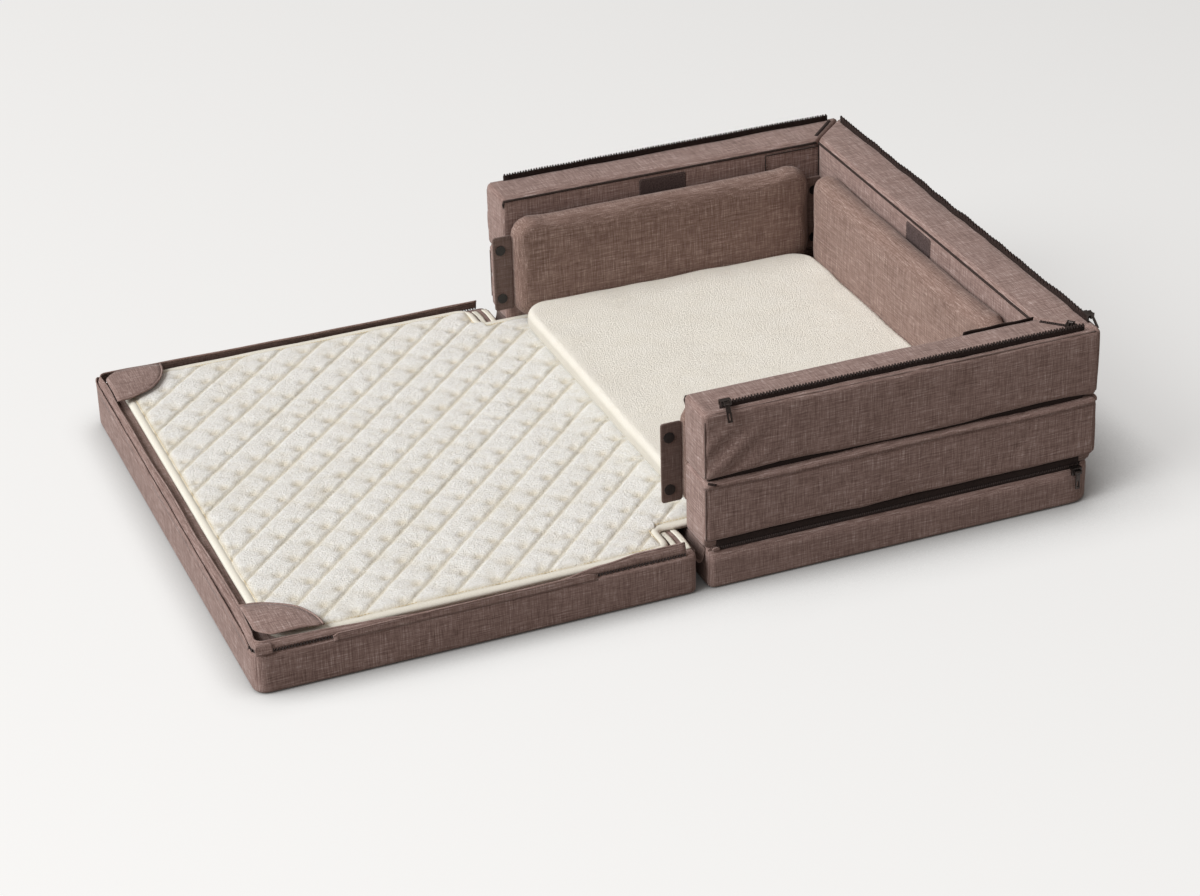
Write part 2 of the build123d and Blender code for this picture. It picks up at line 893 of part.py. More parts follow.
for side_name, y_sign in (("near", -1), ("far", 1)):
    tab_y = y_sign * (side - tab_depth)
    with BuildPart() as front_tab:
        with BuildSketch(Plane.XY.offset(tab_low)):
            with Locations((tab_hinge_x - tab_length / 2, tab_y)):
                Rectangle(tab_length, tab_thickness)
            with Locations((tab_hinge_x, tab_y)):
                Circle(tab_thickness / 2)
        extrude(amount=tab_height)
    keep(front_tab.part, side_name + "_front_tab")
    keep(stud_caps(tab_hinge_x - front_stud_reach, tab_y), side_name + "_front_studs")

    with BuildPart() as rear_tab:
        with BuildSketch(Plane.XY.offset(tab_low)):
            with Locations((board_back + rear_tab_length / 2, tab_y)):
                Rectangle(rear_tab_length, tab_thickness)
        extrude(amount=tab_height)
    keep(rear_tab.part, side_name + "_rear_tab")
    keep(stud_caps(board_back + rear_stud_reach, tab_y), side_name + "_rear_studs")

# Zip sliders and their pulls. A slider is drawn across its chain and carries a pin between two
# ears; the pull's sleeve turns on the pin.
sleeve_radius = pin_radius + pull_bore_clearance + pull_sleeve_wall
pin_stand = sleeve_radius + slider_clearance
ear_reach = pin_stand + ear_crown


def slider_body(plane, blocks, ear_block, pin):
    """A slider from blocks (low X, low Y, high X, high Y), one for its ears, and its pin's place."""
    ear_middle = pull_width / 2 + pull_side_clearance + ear_thickness / 2
    with BuildPart() as slider:
        with BuildSketch(plane):
            for low_x, low_y, high_x, high_y in blocks:
                with Locations((low_x, low_y)):
                    Rectangle(high_x - low_x, high_y - low_y, align=(Align.MIN, Align.MIN))
        extrude(amount=slider_length / 2, both=True)
        low_x, low_y, high_x, high_y = ear_block
        for ear_place in (-ear_middle, ear_middle):
            with BuildSketch(plane.offset(ear_place)):
                with Locations((low_x, low_y)):
                    Rectangle(high_x - low_x, high_y - low_y, align=(Align.MIN, Align.MIN))
            extrude(amount=ear_thickness / 2, both=True)
        with BuildSketch(plane):
            with Locations(pin):
                Circle(pin_radius)
        extrude(amount=ear_middle, both=True)
    return slider.part


def slotted_blocks(slot_width, slot_depth):
    """Two flanges and a crown, round a slot that the chain runs in."""
    inner = slot_width / 2
    outer = inner + slider_wall
    return (
        (-outer, 0, -inner, slot_depth + slider_crown),
        (inner, 0, outer, slot_depth + slider_crown),
        (-outer, slot_depth, outer, slot_depth + slider_crown),
    )


def zip_pull(plane, pin, angle, length):
    """A pull that leaves its pin at an angle to the plane's local X."""
    reach_dir = plane.x_dir.rotate(Axis(plane.origin, plane.z_dir), angle)
    face_dir = plane.z_dir.cross(reach_dir)
    pin_place = plane.from_local_coords((*pin, 0))
    with BuildPart() as pull:
        with BuildSketch(Plane(origin=pin_place, x_dir=reach_dir, z_dir=plane.z_dir)):
            Circle(sleeve_radius)
            Rectangle(length, pull_thickness, align=(Align.MIN, Align.CENTER))
            Circle(pin_radius + pull_bore_clearance, mode=Mode.SUBTRACT)
        extrude(amount=pull_width / 2, both=True)
        with BuildSketch(Plane(origin=pin_place, x_dir=reach_dir, z_dir=face_dir)):
            with Locations((length - pull_hole_margin, 0)):
                Rectangle(pull_hole_length, pull_hole_width)
        extrude(amount=pull_thickness, both=True, mode=Mode.SUBTRACT)
    return pull.part


# On the standing zips the ears are on the outer side, so that the pull hangs beside the slider
standing_foot = chain_low - slider_grip
standing_slot_width = chain_thickness + 2 * slider_clearance
standing_slot_depth = chain_top + slider_clearance - standing_foot
standing_blocks = slotted_blocks(standing_slot_width, standing_slot_depth)
standing_top = standing_slot_depth + slider_crown
standing_outer = -standing_slot_width / 2 - slider_wall
standing_ears = (standing_outer - ear_reach, standing_top - ear_width, standing_outer, standing_top)
standing_pin = (standing_outer - pin_stand, standing_top - ear_width / 2)
for wall in (near_wall, back_wall):
    start, end = run_ends(wall, zip_start_gap, zip_corner_gap)
    chain_foot = wall.corner + wall.inward * zip_depth + Vector(0, 0, standing_foot)
    slider_plane = Plane(
        origin=chain_foot + wall.along * (start + slider_start_gap),
        x_dir=wall.inward,
        z_dir=wall.along,
    )
    top_slider = slider_body(slider_plane, standing_blocks, standing_ears, standing_pin)
    keep(top_slider, wall.name + "_top_slider")
    top_pull = zip_pull(slider_plane, standing_pin, top_pull_angle, pull_length)
    keep(top_pull, wall.name + "_top_pull")

# Beside the mitre the ears are on top, and the pull lies back over the wall
mitre_slot_width = mitre_zip_width + 2 * slider_clearance
mitre_slot_depth = tape_thickness + slider_clearance - soft_clearance
mitre_top = mitre_slot_depth + slider_crown
mitre_ears = (-ear_width / 2, mitre_top, ear_width / 2, mitre_top + ear_reach)
mitre_pin = (0, mitre_top + pin_stand)
mitre_slider_reach = mitre_zip_inner_gap + mitre_run - mitre_slider_gap
mitre_base = mitre_plane(*side_corners[0], mitre_slider_reach)
mitre_slider_plane = Plane(
    origin=mitre_base.origin + Vector(0, 0, soft_clearance),
    x_dir=mitre_base.x_dir,
    z_dir=mitre_base.z_dir,
)
mitre_slider = slider_body(
    mitre_slider_plane, slotted_blocks(mitre_slot_width, mitre_slot_depth), mitre_ears, mitre_pin
)
keep(mitre_slider, "mitre_slider")
mitre_pull = zip_pull(mitre_slider_plane, mitre_pin, mitre_pull_angle, mitre_pull_length)
keep(mitre_pull, "mitre_pull")

# The band's slider lies on the seat's near face: a plate outside, and a neck into the rebate
band_plate_half = (band_slider_high - band_slider_low) / 2
band_slider_plane = Plane(
    origin=(seat_back - band_slider_end_gap, -side, band_slider_low + band_plate_half),
    x_dir=(0, 0, 1),
    z_dir=(1, 0, 0),
)
band_slider_top = slider_clearance + band_slider_thickness
band_neck_low = band_low + slider_clearance - band_slider_low - band_plate_half
band_blocks = (
    (-band_plate_half, slider_clearance, band_plate_half, band_slider_top),
    (band_neck_low, slider_clearance - tape_face, band_plate_half, slider_clearance),
)
band_ears = (-ear_width / 2, band_slider_top, ear_width / 2, band_slider_top + ear_reach)
band_pin = (0, band_slider_top + pin_stand)
keep(slider_body(band_slider_plane, band_blocks, band_ears, band_pin), "band_slider")
keep(zip_pull(band_slider_plane, band_pin, band_pull_angle, pull_length), "band_pull")
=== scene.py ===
import math

import bmesh
import bpy
from mathutils import Matrix, Vector, noise


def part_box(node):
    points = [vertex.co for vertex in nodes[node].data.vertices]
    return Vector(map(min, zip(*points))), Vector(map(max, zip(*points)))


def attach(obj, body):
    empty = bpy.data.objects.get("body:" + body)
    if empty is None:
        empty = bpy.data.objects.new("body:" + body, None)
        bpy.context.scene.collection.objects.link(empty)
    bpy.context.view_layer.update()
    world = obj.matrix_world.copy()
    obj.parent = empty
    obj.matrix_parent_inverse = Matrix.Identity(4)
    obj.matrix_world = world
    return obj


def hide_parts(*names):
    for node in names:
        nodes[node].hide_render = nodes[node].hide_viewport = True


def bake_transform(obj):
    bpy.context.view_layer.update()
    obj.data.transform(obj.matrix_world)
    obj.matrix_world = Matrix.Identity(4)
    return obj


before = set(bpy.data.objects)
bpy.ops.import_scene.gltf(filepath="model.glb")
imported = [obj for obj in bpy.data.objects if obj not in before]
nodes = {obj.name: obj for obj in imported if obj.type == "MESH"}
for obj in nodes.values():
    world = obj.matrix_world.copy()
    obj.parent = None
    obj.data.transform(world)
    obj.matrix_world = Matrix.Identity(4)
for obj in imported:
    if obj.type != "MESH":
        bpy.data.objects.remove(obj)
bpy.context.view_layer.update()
scene = bpy.context.scene

# Points and lengths below are in millimetres, in the part's frame, and are scaled to metres
# where a mesh is made.
MM = 0.001
UP = Vector((0, 0, 1))
WHITE = (1, 1, 1)
tiny = 0.0001


# ---------------------------------------------------------------- materials


class Paint:
    """A node material while it is being built."""

    def __init__(self, name):
        self.material = bpy.data.materials.new(name)
        self.material.use_nodes = True
        self.tree = self.material.node_tree
        self.tree.nodes.clear()

    def put(self, kind, settings=None, inputs=None):
        """A node with its settings and inputs; an input is a value or another node's output."""
        node = self.tree.nodes.new(kind)
        for key, value in (settings or {}).items():
            setattr(node, key, value)
        for key, value in (inputs or {}).items():
            if isinstance(value, bpy.types.NodeSocket):
                self.tree.links.new(value, node.inputs[key])
            else:
                node.inputs[key].default_value = value
        return node

    def ramp(self, factor, *stops):
        """A colour ramp from (position, colour) stops."""
        node = self.put("ShaderNodeValToRGB", {}, {"Fac": factor})
        band = node.color_ramp
        while len(band.elements) < len(stops):
            band.elements.new(0.5)
        for element, (position, colour) in zip(band.elements, stops):
            element.position = position
            element.color = (*colour, 1)
        return node.outputs["Color"]

    def maths(self, operation, first, second=0.0):
        return self.put("ShaderNodeMath", {"operation": operation}, {0: first, 1: second}).outputs[0]

    def weighed(self, first, second, share):
        """Two fields added, the first by its share and the second by the rest."""
        parts = [self.maths("MULTIPLY", *pair) for pair in ((first, share), (second, 1 - share))]
        return self.maths("ADD", *parts)

    def times(self, first, second):
        """One colour multiplied by another."""
        kind = {"data_type": "RGBA", "blend_type": "MULTIPLY"}
        return self.put("ShaderNodeMix", kind, {0: 1.0, 6: first, 7: second}).outputs[2]

    def where(self, kind="Object"):
        """The place in the piece's own coordinates, or its normal."""
        return self.put("ShaderNodeTexCoord").outputs[kind]

    def split(self, vector):
        return self.put("ShaderNodeSeparateXYZ", {}, {0: vector}).outputs

    def cloudy(self, scale, detail=2.0, rough=0.5, stretch=(1, 1, 1)):
        """A noise field in the piece's own coordinates; scale is in waves a metre."""
        mapped = self.put("ShaderNodeMapping", {}, {"Vector": self.where(), "Scale": stretch})
        field = self.put("ShaderNodeTexNoise", {}, {
            "Vector": mapped.outputs[0], "Scale": scale, "Detail": detail, "Roughness": rough})
        return field.outputs["Fac"]

    def threads(self, along, across):
        """Streaks along the two directions that lie in each face, as the threads of a weave."""
        size = self.put("ShaderNodeVectorMath", {"operation": "ABSOLUTE"}, {0: self.where("Normal")})
        facing = self.split(size.outputs[0])
        total, shares = 0.0, 0.0
        for axis in range(3):
            stretch = [across, across, across]
            stretch[axis] = along
            share = self.maths("SUBTRACT", 1.0, facing[axis])
            part = self.maths("MULTIPLY", self.cloudy(1.0, 2.0, 0.6, stretch), share)
            total = self.maths("ADD", total, part)
            shares = self.maths("ADD", shares, share)
        return self.maths("DIVIDE", total, shares)

    def surface(self, colour, height, distance, strength, rough, shine=0.5, sheen=0.0, sheen_rough=0.5,
                metal=0.0):
        """Principled surface with a bump, whose distance is in metres."""
        bump = self.put("ShaderNodeBump", {}, {"Height": height, "Distance": distance, "Strength": strength})
        found = self.put("ShaderNodeBsdfPrincipled", {}, {
            "Base Color": colour, "Normal": bump.outputs[0], "Roughness": rough, "Specular IOR Level": shine,
            "Sheen Weight": sheen, "Sheen Roughness": sheen_rough, "Metallic": metal})
        self.put("ShaderNodeOutputMaterial", {}, {"Surface": found.outputs[0]})
        return self.material


def linen(name, *tints):
    """Slub linen: fine threads both ways, longer slubs and a broad mottle. The tints run from
    the deepest gap between threads to the palest slub."""
    paint = Paint(name)
    weave = paint.weighed(paint.threads(70, 1250), paint.threads(22, 760), 0.6)
    tint = paint.ramp(weave, *zip((0.37, 0.46, 0.54, 0.63), tints))
    mottle = paint.ramp(paint.cloudy(24, 3, 0.6), (0.3, (0.90, 0.89, 0.885)), (0.7, WHITE))
    return paint.surface(paint.times(tint, mottle), weave, 0.0010, 0.6, 0.9, 0.2, 0.12)


def woven(name, dark, light, rough=0.85, fine=1500.0):
    """A fine plain tape or webbing."""
    paint = Paint(name)
    weave = paint.threads(500, fine)
    return paint.surface(paint.ramp(weave, (0.35, dark), (0.65, light)), weave, 0.0004, 0.5, rough, 0.25)


def terry_cloth(name):
    """Looped terry: small loops, tufts, and a warmer tint low in the quilting, in spots: painted shade in
    the dips, mixed with random blotches.
    """
    paint = Paint(name)
    pile = paint.weighed(paint.cloudy(520, 3, 0.8), paint.cloudy(240, 2, 0.6), 0.72)
    base = paint.ramp(
        pile, (0.36, (0.79, 0.768, 0.715)), (0.5, (0.885, 0.873, 0.838)), (0.62, (0.93, 0.922, 0.90)))
    # Painted shade: a warmer, darker tint low in the quilting's dips, broken up by random blotches.
    height = paint.split(paint.where())[2]
    low = paint.put("ShaderNodeMapRange", {}, {0: height, 1: 0.0548, 2: 0.0572, 3: 0.0, 4: 1.0})
    blotch = paint.maths("SUBTRACT", paint.cloudy(75, 3, 0.6), 0.5)
    spots = paint.maths("ADD", low.outputs[0], paint.maths("MULTIPLY", blotch, 0.8))
    dip_shade_and_blotch = paint.ramp(spots, (0.0, (0.84, 0.79, 0.69)), (0.85, WHITE))
    return paint.surface(paint.times(base, dip_shade_and_blotch), pile, 0.0034, 0.8, 0.95, 0.1, 0.15, 0.6)


def fleece_cloth(name):
    """Short smooth fleece, with painted shade darkening its sides."""
    paint = Paint(name)
    pile = paint.cloudy(560, 3, 0.75)
    tint = paint.ramp(paint.cloudy(38, 3, 0.55), (0.3, (0.86, 0.82, 0.735)), (0.7, (0.885, 0.85, 0.775)))
    grain = paint.ramp(pile, (0.35, (0.95, 0.945, 0.935)), (0.6, WHITE))
    # Painted shade: faces whose normals lie flat, on the mat's sides, are darkened.
    edge = paint.ramp(paint.split(paint.where("Normal"))[2], (0.1, (0.76, 0.75, 0.73)), (0.85, WHITE))
    return paint.surface(paint.times(paint.times(tint, grain), edge), pile, 0.0030, 0.7, 0.95, 0.1, 0.2)


def hard(name, dark, light, rough, metal):
    """Moulded or painted hardware with faint wear."""
    paint = Paint(name)
    wear = paint.cloudy(260, 4, 0.6)
    return paint.surface(paint.ramp(wear, (0.3, dark), (0.75, light)), wear, 0.0003, 0.3, rough, metal=metal)


LINEN = linen(
    "linen", (0.135, 0.086, 0.073), (0.230, 0.152, 0.133), (0.315, 0.220, 0.197), (0.52, 0.415, 0.39))
# Painted shade: the boards' linen is a darker, browner copy of the linen, for the shade that the boards
# stand in.
LINEN_BOARD_SHADED = linen(
    "linen_board", (0.112, 0.068, 0.055), (0.196, 0.124, 0.102), (0.272, 0.184, 0.156), (0.45, 0.35, 0.315))
# Darker linen: real for the sewn seams, and painted shade on the snap tabs, the flap's inner sheet and the
# hinge fold.
LINEN_SEAMS_AND_SHADE = linen(
    "linen_shade", (0.10, 0.066, 0.056), (0.14, 0.094, 0.081), (0.18, 0.125, 0.11), (0.26, 0.20, 0.185))
TAPE = woven("zip_tape", (0.012, 0.007, 0.006), (0.035, 0.021, 0.018))
PIPING = woven("dark_piping", (0.016, 0.010, 0.009), (0.05, 0.033, 0.028))
HOOK = woven("hook_fabric", (0.045, 0.030, 0.029), (0.115, 0.082, 0.078), 0.95, 700.0)
TEETH = hard("zip_teeth", (0.014, 0.007, 0.006), (0.042, 0.023, 0.019), 0.62, 0.0)
METAL = hard("dark_metal", (0.03, 0.024, 0.022), (0.10, 0.082, 0.076), 0.32, 0.85)
STUD = hard("stud_lacquer", (0.010, 0.009, 0.009), (0.028, 0.025, 0.024), 0.28, 0.3)
TERRY = terry_cloth("terry")
BINDING = woven("cream_binding", (0.70, 0.665, 0.58), (0.79, 0.76, 0.68), 0.9, 900.0)
THREAD_CREAM = woven("cream_thread", (0.62, 0.50, 0.30), (0.74, 0.63, 0.42), 0.8, 900.0)
THREAD = woven("brown_thread", (0.09, 0.062, 0.054), (0.17, 0.125, 0.11), 0.8, 900.0)
ELASTIC = woven("cream_elastic", (0.62, 0.59, 0.50), (0.82, 0.79, 0.71), 0.8, 900.0)
FLEECE = fleece_cloth("fleece")


# ---------------------------------------------------------------- mesh helpers


def make(name, points, faces, material, smooth=True):
    """A mesh object from points in millimetres, with outward normals."""
    mesh = bpy.data.meshes.new(name)
    mesh.from_pydata([(p[0] * MM, p[1] * MM, p[2] * MM) for p in points], [], faces)
    shape = bmesh.new()
    shape.from_mesh(mesh)
    bmesh.ops.recalc_face_normals(shape, faces=shape.faces)
    shape.to_mesh(mesh)
    shape.free()
    mesh.polygons.foreach_set("use_smooth", [smooth] * len(mesh.polygons))
    mesh.materials.append(material)
    obj = bpy.data.objects.new(name, mesh)
    scene.collection.objects.link(obj)
    return obj


def dress(obj, body, slot, *replaced):
    """Tie a finished piece to its body and hide the nodes that it stands for. The slot is not used."""
    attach(obj, body)
    if replaced:
        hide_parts(*replaced)
    return obj


def spaced(stops, cell):
    """Grid lines that keep every stop and lie no further apart than a cell."""
    stops = sorted(set(round(stop, 4) for stop in stops))
    lines = [stops[0]]
    for low, high in zip(stops, stops[1:]):
        count = max(1, math.ceil((high - low) / cell - 0.001))
        lines += [low + (high - low) * step / count for step in range(1, count + 1)]
    return lines


def soft_box(size, edge, corners, cell, extra=((), (), ())):
    """A closed box whose long edges are rounded by edge, and whose corners in the first two
    directions are rounded by corners (low end, high end). Gives its points, with each one's
    place on the plain box, and its faces."""
    a_size, b_size, c_size = size
    low_round, high_round = corners
    thirds = (0, edge / 3, edge * 2 / 3, edge)
    a_ends = [*thirds, low_round, a_size - high_round, *(a_size - t for t in thirds)]
    a_lines = spaced([*a_ends, *extra[0]], cell)
    b_ends = [*thirds, max(corners)]
    b_lines = spaced([*b_ends, *extra[1], *(b_size - t for t in b_ends)], cell)
    c_lines = spaced([*thirds, *extra[2], *(c_size - t for t in thirds)], cell)
    points, index, faces = [], {}, []

    def placed(a, b, c):
        corner = low_round if a < a_size / 2 else high_round
        middle_a = min(max(a, corner), a_size - corner)
        middle_b = min(max(b, corner), b_size - corner)
        off_a, off_b = a - middle_a, b - middle_b
        reach = max(abs(off_a), abs(off_b))
        inset = corner - reach
        height = c
        if inset < edge:
            from_end = min(c, c_size - c)
            if from_end < tiny:
                turn = math.radians(45 + 45 * inset / edge)
            elif from_end < edge and inset < tiny:
                turn = math.radians(45 * (1 - from_end / edge))
            else:
                turn = 0
            inset = edge * (1 - math.cos(turn))
            rise = edge * (1 - math.sin(turn))
            if turn:
                height = rise if c < c_size / 2 else c_size - rise
        if reach > tiny:
            length = math.hypot(off_a, off_b)
            scale = (corner - inset) / length
            off_a, off_b = off_a * scale, off_b * scale
        return Vector((middle_a + off_a, middle_b + off_b, height))

    def vertex(i, j, k):
        if (i, j, k) not in index:
            a, b, c = a_lines[i], b_lines[j], c_lines[k]
            index[i, j, k] = len(points)
            points.append((placed(a, b, c), (a / a_size, b / b_size, c / c_size)))
        return index[i, j, k]

    last = [len(lines) - 1 for lines in (a_lines, b_lines, c_lines)]
    for fixed, one, two in ((2, 0, 1), (1, 0, 2), (0, 1, 2)):
        for end in (0, last[fixed]):
            for i in range(last[one]):
                for j in range(last[two]):
                    quad = []
                    for right, over in ((0, 0), (1, 0), (1, 1), (0, 1)):
                        place = [end, end, end]
                        place[one], place[two] = i + right, j + over
                        quad.append(vertex(*place))
                    faces.append(quad)
    return points, faces


def swelled(point, share, swell):
    """A soft box's point moved out by the swell of its three directions."""
    u, v, w = (2 * s - 1 for s in share)
    full = [math.sqrt(max(0, 1 - s * s)) for s in (u, v, w)]
    return point + Vector((
        swell[0] * u**3 * full[1] * full[2],
        swell[1] * v**3 * full[0] * full[2],
        swell[2] * w**3 * full[0] * full[1],
    ))


def ripple(obj, seed, amount, wave, crease=0.0, crease_wave=60.0, calm=None):
    """Move an object's points along their normals by smooth waves and a few fine creases."""
    mesh = obj.data
    shift = Vector((seed * 13.7, seed * 5.1, seed * 9.3))
    moved = []
    for vertex in mesh.vertices:
        place = vertex.co / MM
        off = amount * noise.noise(place / wave + shift)
        off += amount * 0.35 * noise.noise(place / (wave * 0.35) - shift)
        if crease:
            line = 1 - abs(noise.noise(place / crease_wave + shift * 2.3))
            gate = noise.noise(place / (crease_wave * 2.2) - shift * 1.7)
            off -= crease * max(0, line) ** 22 * max(0, gate + 0.15)
        if calm:
            off *= calm(place)
        moved.append(vertex.co + vertex.normal * off * MM)
    for vertex, place in zip(mesh.vertices, moved):
        vertex.co = place
    mesh.update()


def smoothed(t):
    """An even ease from 0 to 1."""
    t = min(max(t, 0.0), 1.0)
    return t * t * (3 - 2 * t)


def wavy(x, y, z):
    return noise.noise(Vector((x, y, z)))


def settled(obj):
    """Swap an object's mesh for the one that its modifiers give now, and drop the modifiers."""
    found = obj.evaluated_get(bpy.context.evaluated_depsgraph_get())
    mesh = bpy.data.meshes.new_from_object(found)
    obj.modifiers.clear()
    obj.data = mesh


def inflated(obj, cap, slack=0.03, voxel=5.0, pressure=4.0, frames=20):
    """Padded fabric: a cloth simulation blows the piece's skin up against its own slack, and
    no point moves further than the cap."""
    material = obj.data.materials[0]
    scene.frame_set(1)
    remesh = obj.modifiers.new("voxels", "REMESH")
    remesh.mode = "VOXEL"
    remesh.voxel_size = voxel * MM
    settled(obj)
    before = [vertex.co.copy() for vertex in obj.data.vertices]
    fabric = obj.modifiers.new("fabric", "CLOTH")
    fabric.point_cache.frame_start, fabric.point_cache.frame_end = 1, frames
    fabric.settings.quality = 5
    fabric.settings.use_pressure = True
    fabric.settings.uniform_pressure_force = pressure
    fabric.settings.shrink_min = -slack
    fabric.settings.effector_weights.gravity = 0
    for step in range(1, frames + 1):
        scene.frame_set(step)
    settled(obj)
    moves = [vertex.co - start for vertex, start in zip(obj.data.vertices, before)]
    drift = sum(moves, Vector()) / len(moves)
    for vertex, start, move in zip(obj.data.vertices, before, moves):
        off = move - drift
        if off.length > cap * MM:
            off *= cap * MM / off.length
        vertex.co = start + off
    finer = obj.modifiers.new("finer", "SUBSURF")
    finer.levels = finer.render_levels = 1
    settled(obj)
    scene.frame_set(1)
    obj.data.polygons.foreach_set("use_smooth", [True] * len(obj.data.polygons))
    obj.data.materials.clear()
    obj.data.materials.append(material)


def sandwich(name, over, under, material):
    """A closed sheet between two grids of points (rows of equal length)."""
    count, width = len(over), len(over[0])
    back = count * width
    faces = []
    for i in range(count - 1):
        for j in range(width - 1):
            quad = [i * width + j, i * width + j + 1, (i + 1) * width + j + 1, (i + 1) * width + j]
            faces += [quad, [back + corner for corner in reversed(quad)]]
    rim = list(range(width)) + [i * width + width - 1 for i in range(1, count)]
    rim += [(count - 1) * width + j for j in range(width - 2, -1, -1)]
    rim += [i * width for i in range(count - 2, 0, -1)]
    for first, second in zip(rim, rim[1:] + rim[:1]):
        faces.append([first, second, back + second, back + first])
    return make(name, [place for row in over + under for place in row], faces, material)


def cloth(name, rows, thickness, material):
    """A closed sheet of cloth about a grid of points."""
    count, width = len(rows), len(rows[0])
    over, under = [], []
    for i, row in enumerate(rows):
        halves = []
        for j in range(width):
            along = rows[min(i + 1, count - 1)][j] - rows[max(i - 1, 0)][j]
            across = row[min(j + 1, width - 1)] - row[max(j - 1, 0)]
            halves.append(along.cross(across).normalized() * thickness * 0.5)
        over.append([place + half for place, half in zip(row, halves)])
        under.append([place - half for place, half in zip(row, halves)])
    return sandwich(name, over, under, material)


least_sheet = 0.01  # a narrower piece is a tape


def cut(rows):
    """The cut size and area of a piece made by cloth(): its cut size is that of its grid of points,
    since nothing stretches it. They are worked out and not kept."""
    def run(line):
        return sum((second - first).length for first, second in zip(line, line[1:]))

    across = max(run(row) for row in rows)
    along = max(run([row[j] for row in rows]) for j in range(len(rows[0])))
    area = 0.0
    for low, high in zip(rows, rows[1:]):
        for a, b, c, d in zip(low, low[1:], high[1:], high):
            area += ((c - a).cross(d - b)).length / 2
    flat = tuple(sorted((across * MM, along * MM)))
    if flat[0] < least_sheet:
        return
    area = min(max(area * MM * MM, 0.3 * flat[0] * flat[1]), flat[0] * flat[1])


def tube(name, path, radius, material, sides=8, flat=1.0, up=UP, closed=False):
    """A cord along a path, its section pressed flat along up by a share."""
    points, faces = [], []
    count = len(path)
    for i, place in enumerate(path):
        ahead = path[(i + 1) % count] if closed or i + 1 < count else place
        behind = path[i - 1] if closed or i else place
        along = (ahead - behind).normalized()
        out = along.cross(up).normalized()
        over = out.cross(along).normalized()
        for k in range(sides):
            turn = math.tau * k / sides
            points.append(place + out * radius * math.cos(turn) + over * radius * flat * math.sin(turn))
    for i in range(count if closed else count - 1):
        j = (i + 1) % count
        for k in range(sides):
            m = (k + 1) % sides
            faces.append([i * sides + k, i * sides + m, j * sides + m, j * sides + k])
    if not closed:
        faces.append(list(range(sides)))
        faces.append([(count - 1) * sides + k for k in range(sides)])
    return make(name, points, faces, material)


def blocks(name, places, material):
    """Many small bevelled blocks: each is a middle, three half edges, and a taper of its end."""
    points, faces = [], []
    for middle, half_a, half_b, half_c, taper in places:
        base = len(points)
        for c_sign, scale in ((-1, 1.0), (1, taper)):
            for a_sign, b_sign in ((-1, -1), (1, -1), (1, 1), (-1, 1)):
                points.append(middle + half_a * a_sign * scale + half_b * b_sign * scale + half_c * c_sign)
        for quad in ((3, 2, 1, 0), (4, 5, 6, 7), (0, 1, 5, 4), (1, 2, 6, 5), (2, 3, 7, 6), (3, 0, 4, 7)):
            faces.append([base + corner for corner in quad])
    return make(name, points, faces, material, False)


def walked(path, step, start):
    """Places and directions at even steps along a path of points."""
    found, left = [], start
    for first, second in zip(path, path[1:]):
        length = (second - first).length
        if length < 1e-6:
            continue
        along = (second - first) / length
        while left <= length:
            found.append((first + along * left, along))
            left += step
        left -= length
    return found


def stitches(name, path, material, length, gap, up, lift, width):
    """A row of thread stitches along a path; up points out of the cloth."""
    places = []
    for place, along in walked(path, length + gap, gap):
        aside = along.cross(up).normalized()
        places.append((
            place + along * length / 2 + up * lift,
            along * length / 2, aside * width / 2, up * 0.22, 0.7,
        ))
    return blocks(name, places, material)


def chain(name, path, pitch, height, thickness, lean=0.25):
    """A row of zip teeth that stand up along a path."""
    places = []
    for count, (place, along) in enumerate(walked(path, pitch, pitch / 2)):
        aside = along.cross(UP).normalized()
        shift = aside * thickness * 0.12 * (1 if count % 2 else -1)
        places.append((
            place + UP * height / 2 + shift,
            along * pitch * 0.27, aside * thickness / 2, UP * height / 2 + along * lean * 0.3, 0.72,
        ))
    return blocks(name, places, TEETH)


def rounded_outline(points, radii, step=3.0):
    """A closed outline in the XY plane with each corner rounded by its own radius."""
    outline = []
    count = len(points)
    for i, radius in enumerate(radii):
        before, here, after = points[i - 1], points[i], points[(i + 1) % count]
        to_before = (before - here).normalized()
        to_after = (after - here).normalized()
        if radius < 0.01:
            outline.append(here.copy())
            continue
        angle = to_before.angle(to_after)
        reach = radius / math.tan(angle / 2)
        start, end = here + to_before * reach, here + to_after * reach
        middle = here + (to_before + to_after).normalized() * radius / math.sin(angle / 2)
        turn = math.pi - angle
        pieces = max(3, math.ceil(radius * turn / step))
        first, last = start - middle, end - middle
        for piece in range(pieces + 1):
            share = piece / pieces
            weight_a = math.sin((1 - share) * turn) / math.sin(turn)
            weight_b = math.sin(share * turn) / math.sin(turn)
            outline.append(middle + first * weight_a + last * weight_b)
    return outline


def three_sides(free, end, across, radius):
    """A line out from a slab's seam end along one side, across its other end, and back."""
    return rounded_outline([
        Vector((free, -across, 0)), Vector((end, -across, 0)),
        Vector((end, across, 0)), Vector((free, across, 0)),
    ], (0, radius, radius, 0))


def dense(path, step, closed=True):
    """The same line with points no further apart than a step."""
    found = []
    for first, second in zip(path, path[1:] + (path[:1] if closed else [])):
        count = max(1, math.ceil((second - first).length / step))
        found += [first + (second - first) * i / count for i in range(count)]
    return found if closed else found + path[-1:]


# ---------------------------------------------------------------- sizes


def corners_mm(node):
    """The two ends of a node's box."""
    low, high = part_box(node)
    return low / MM, high / MM


leaf_low, leaf_high = corners_mm("leaf_cover")
seat_low, seat_high = corners_mm("seat_cover")
side = seat_high.y
slab_top = leaf_high.z
wall_front, wall_back = corners_mm("near_wall_cover")[0].x, corners_mm("back_wall_cover")[1].x
seam = (leaf_high.x + seat_low.x) / 2

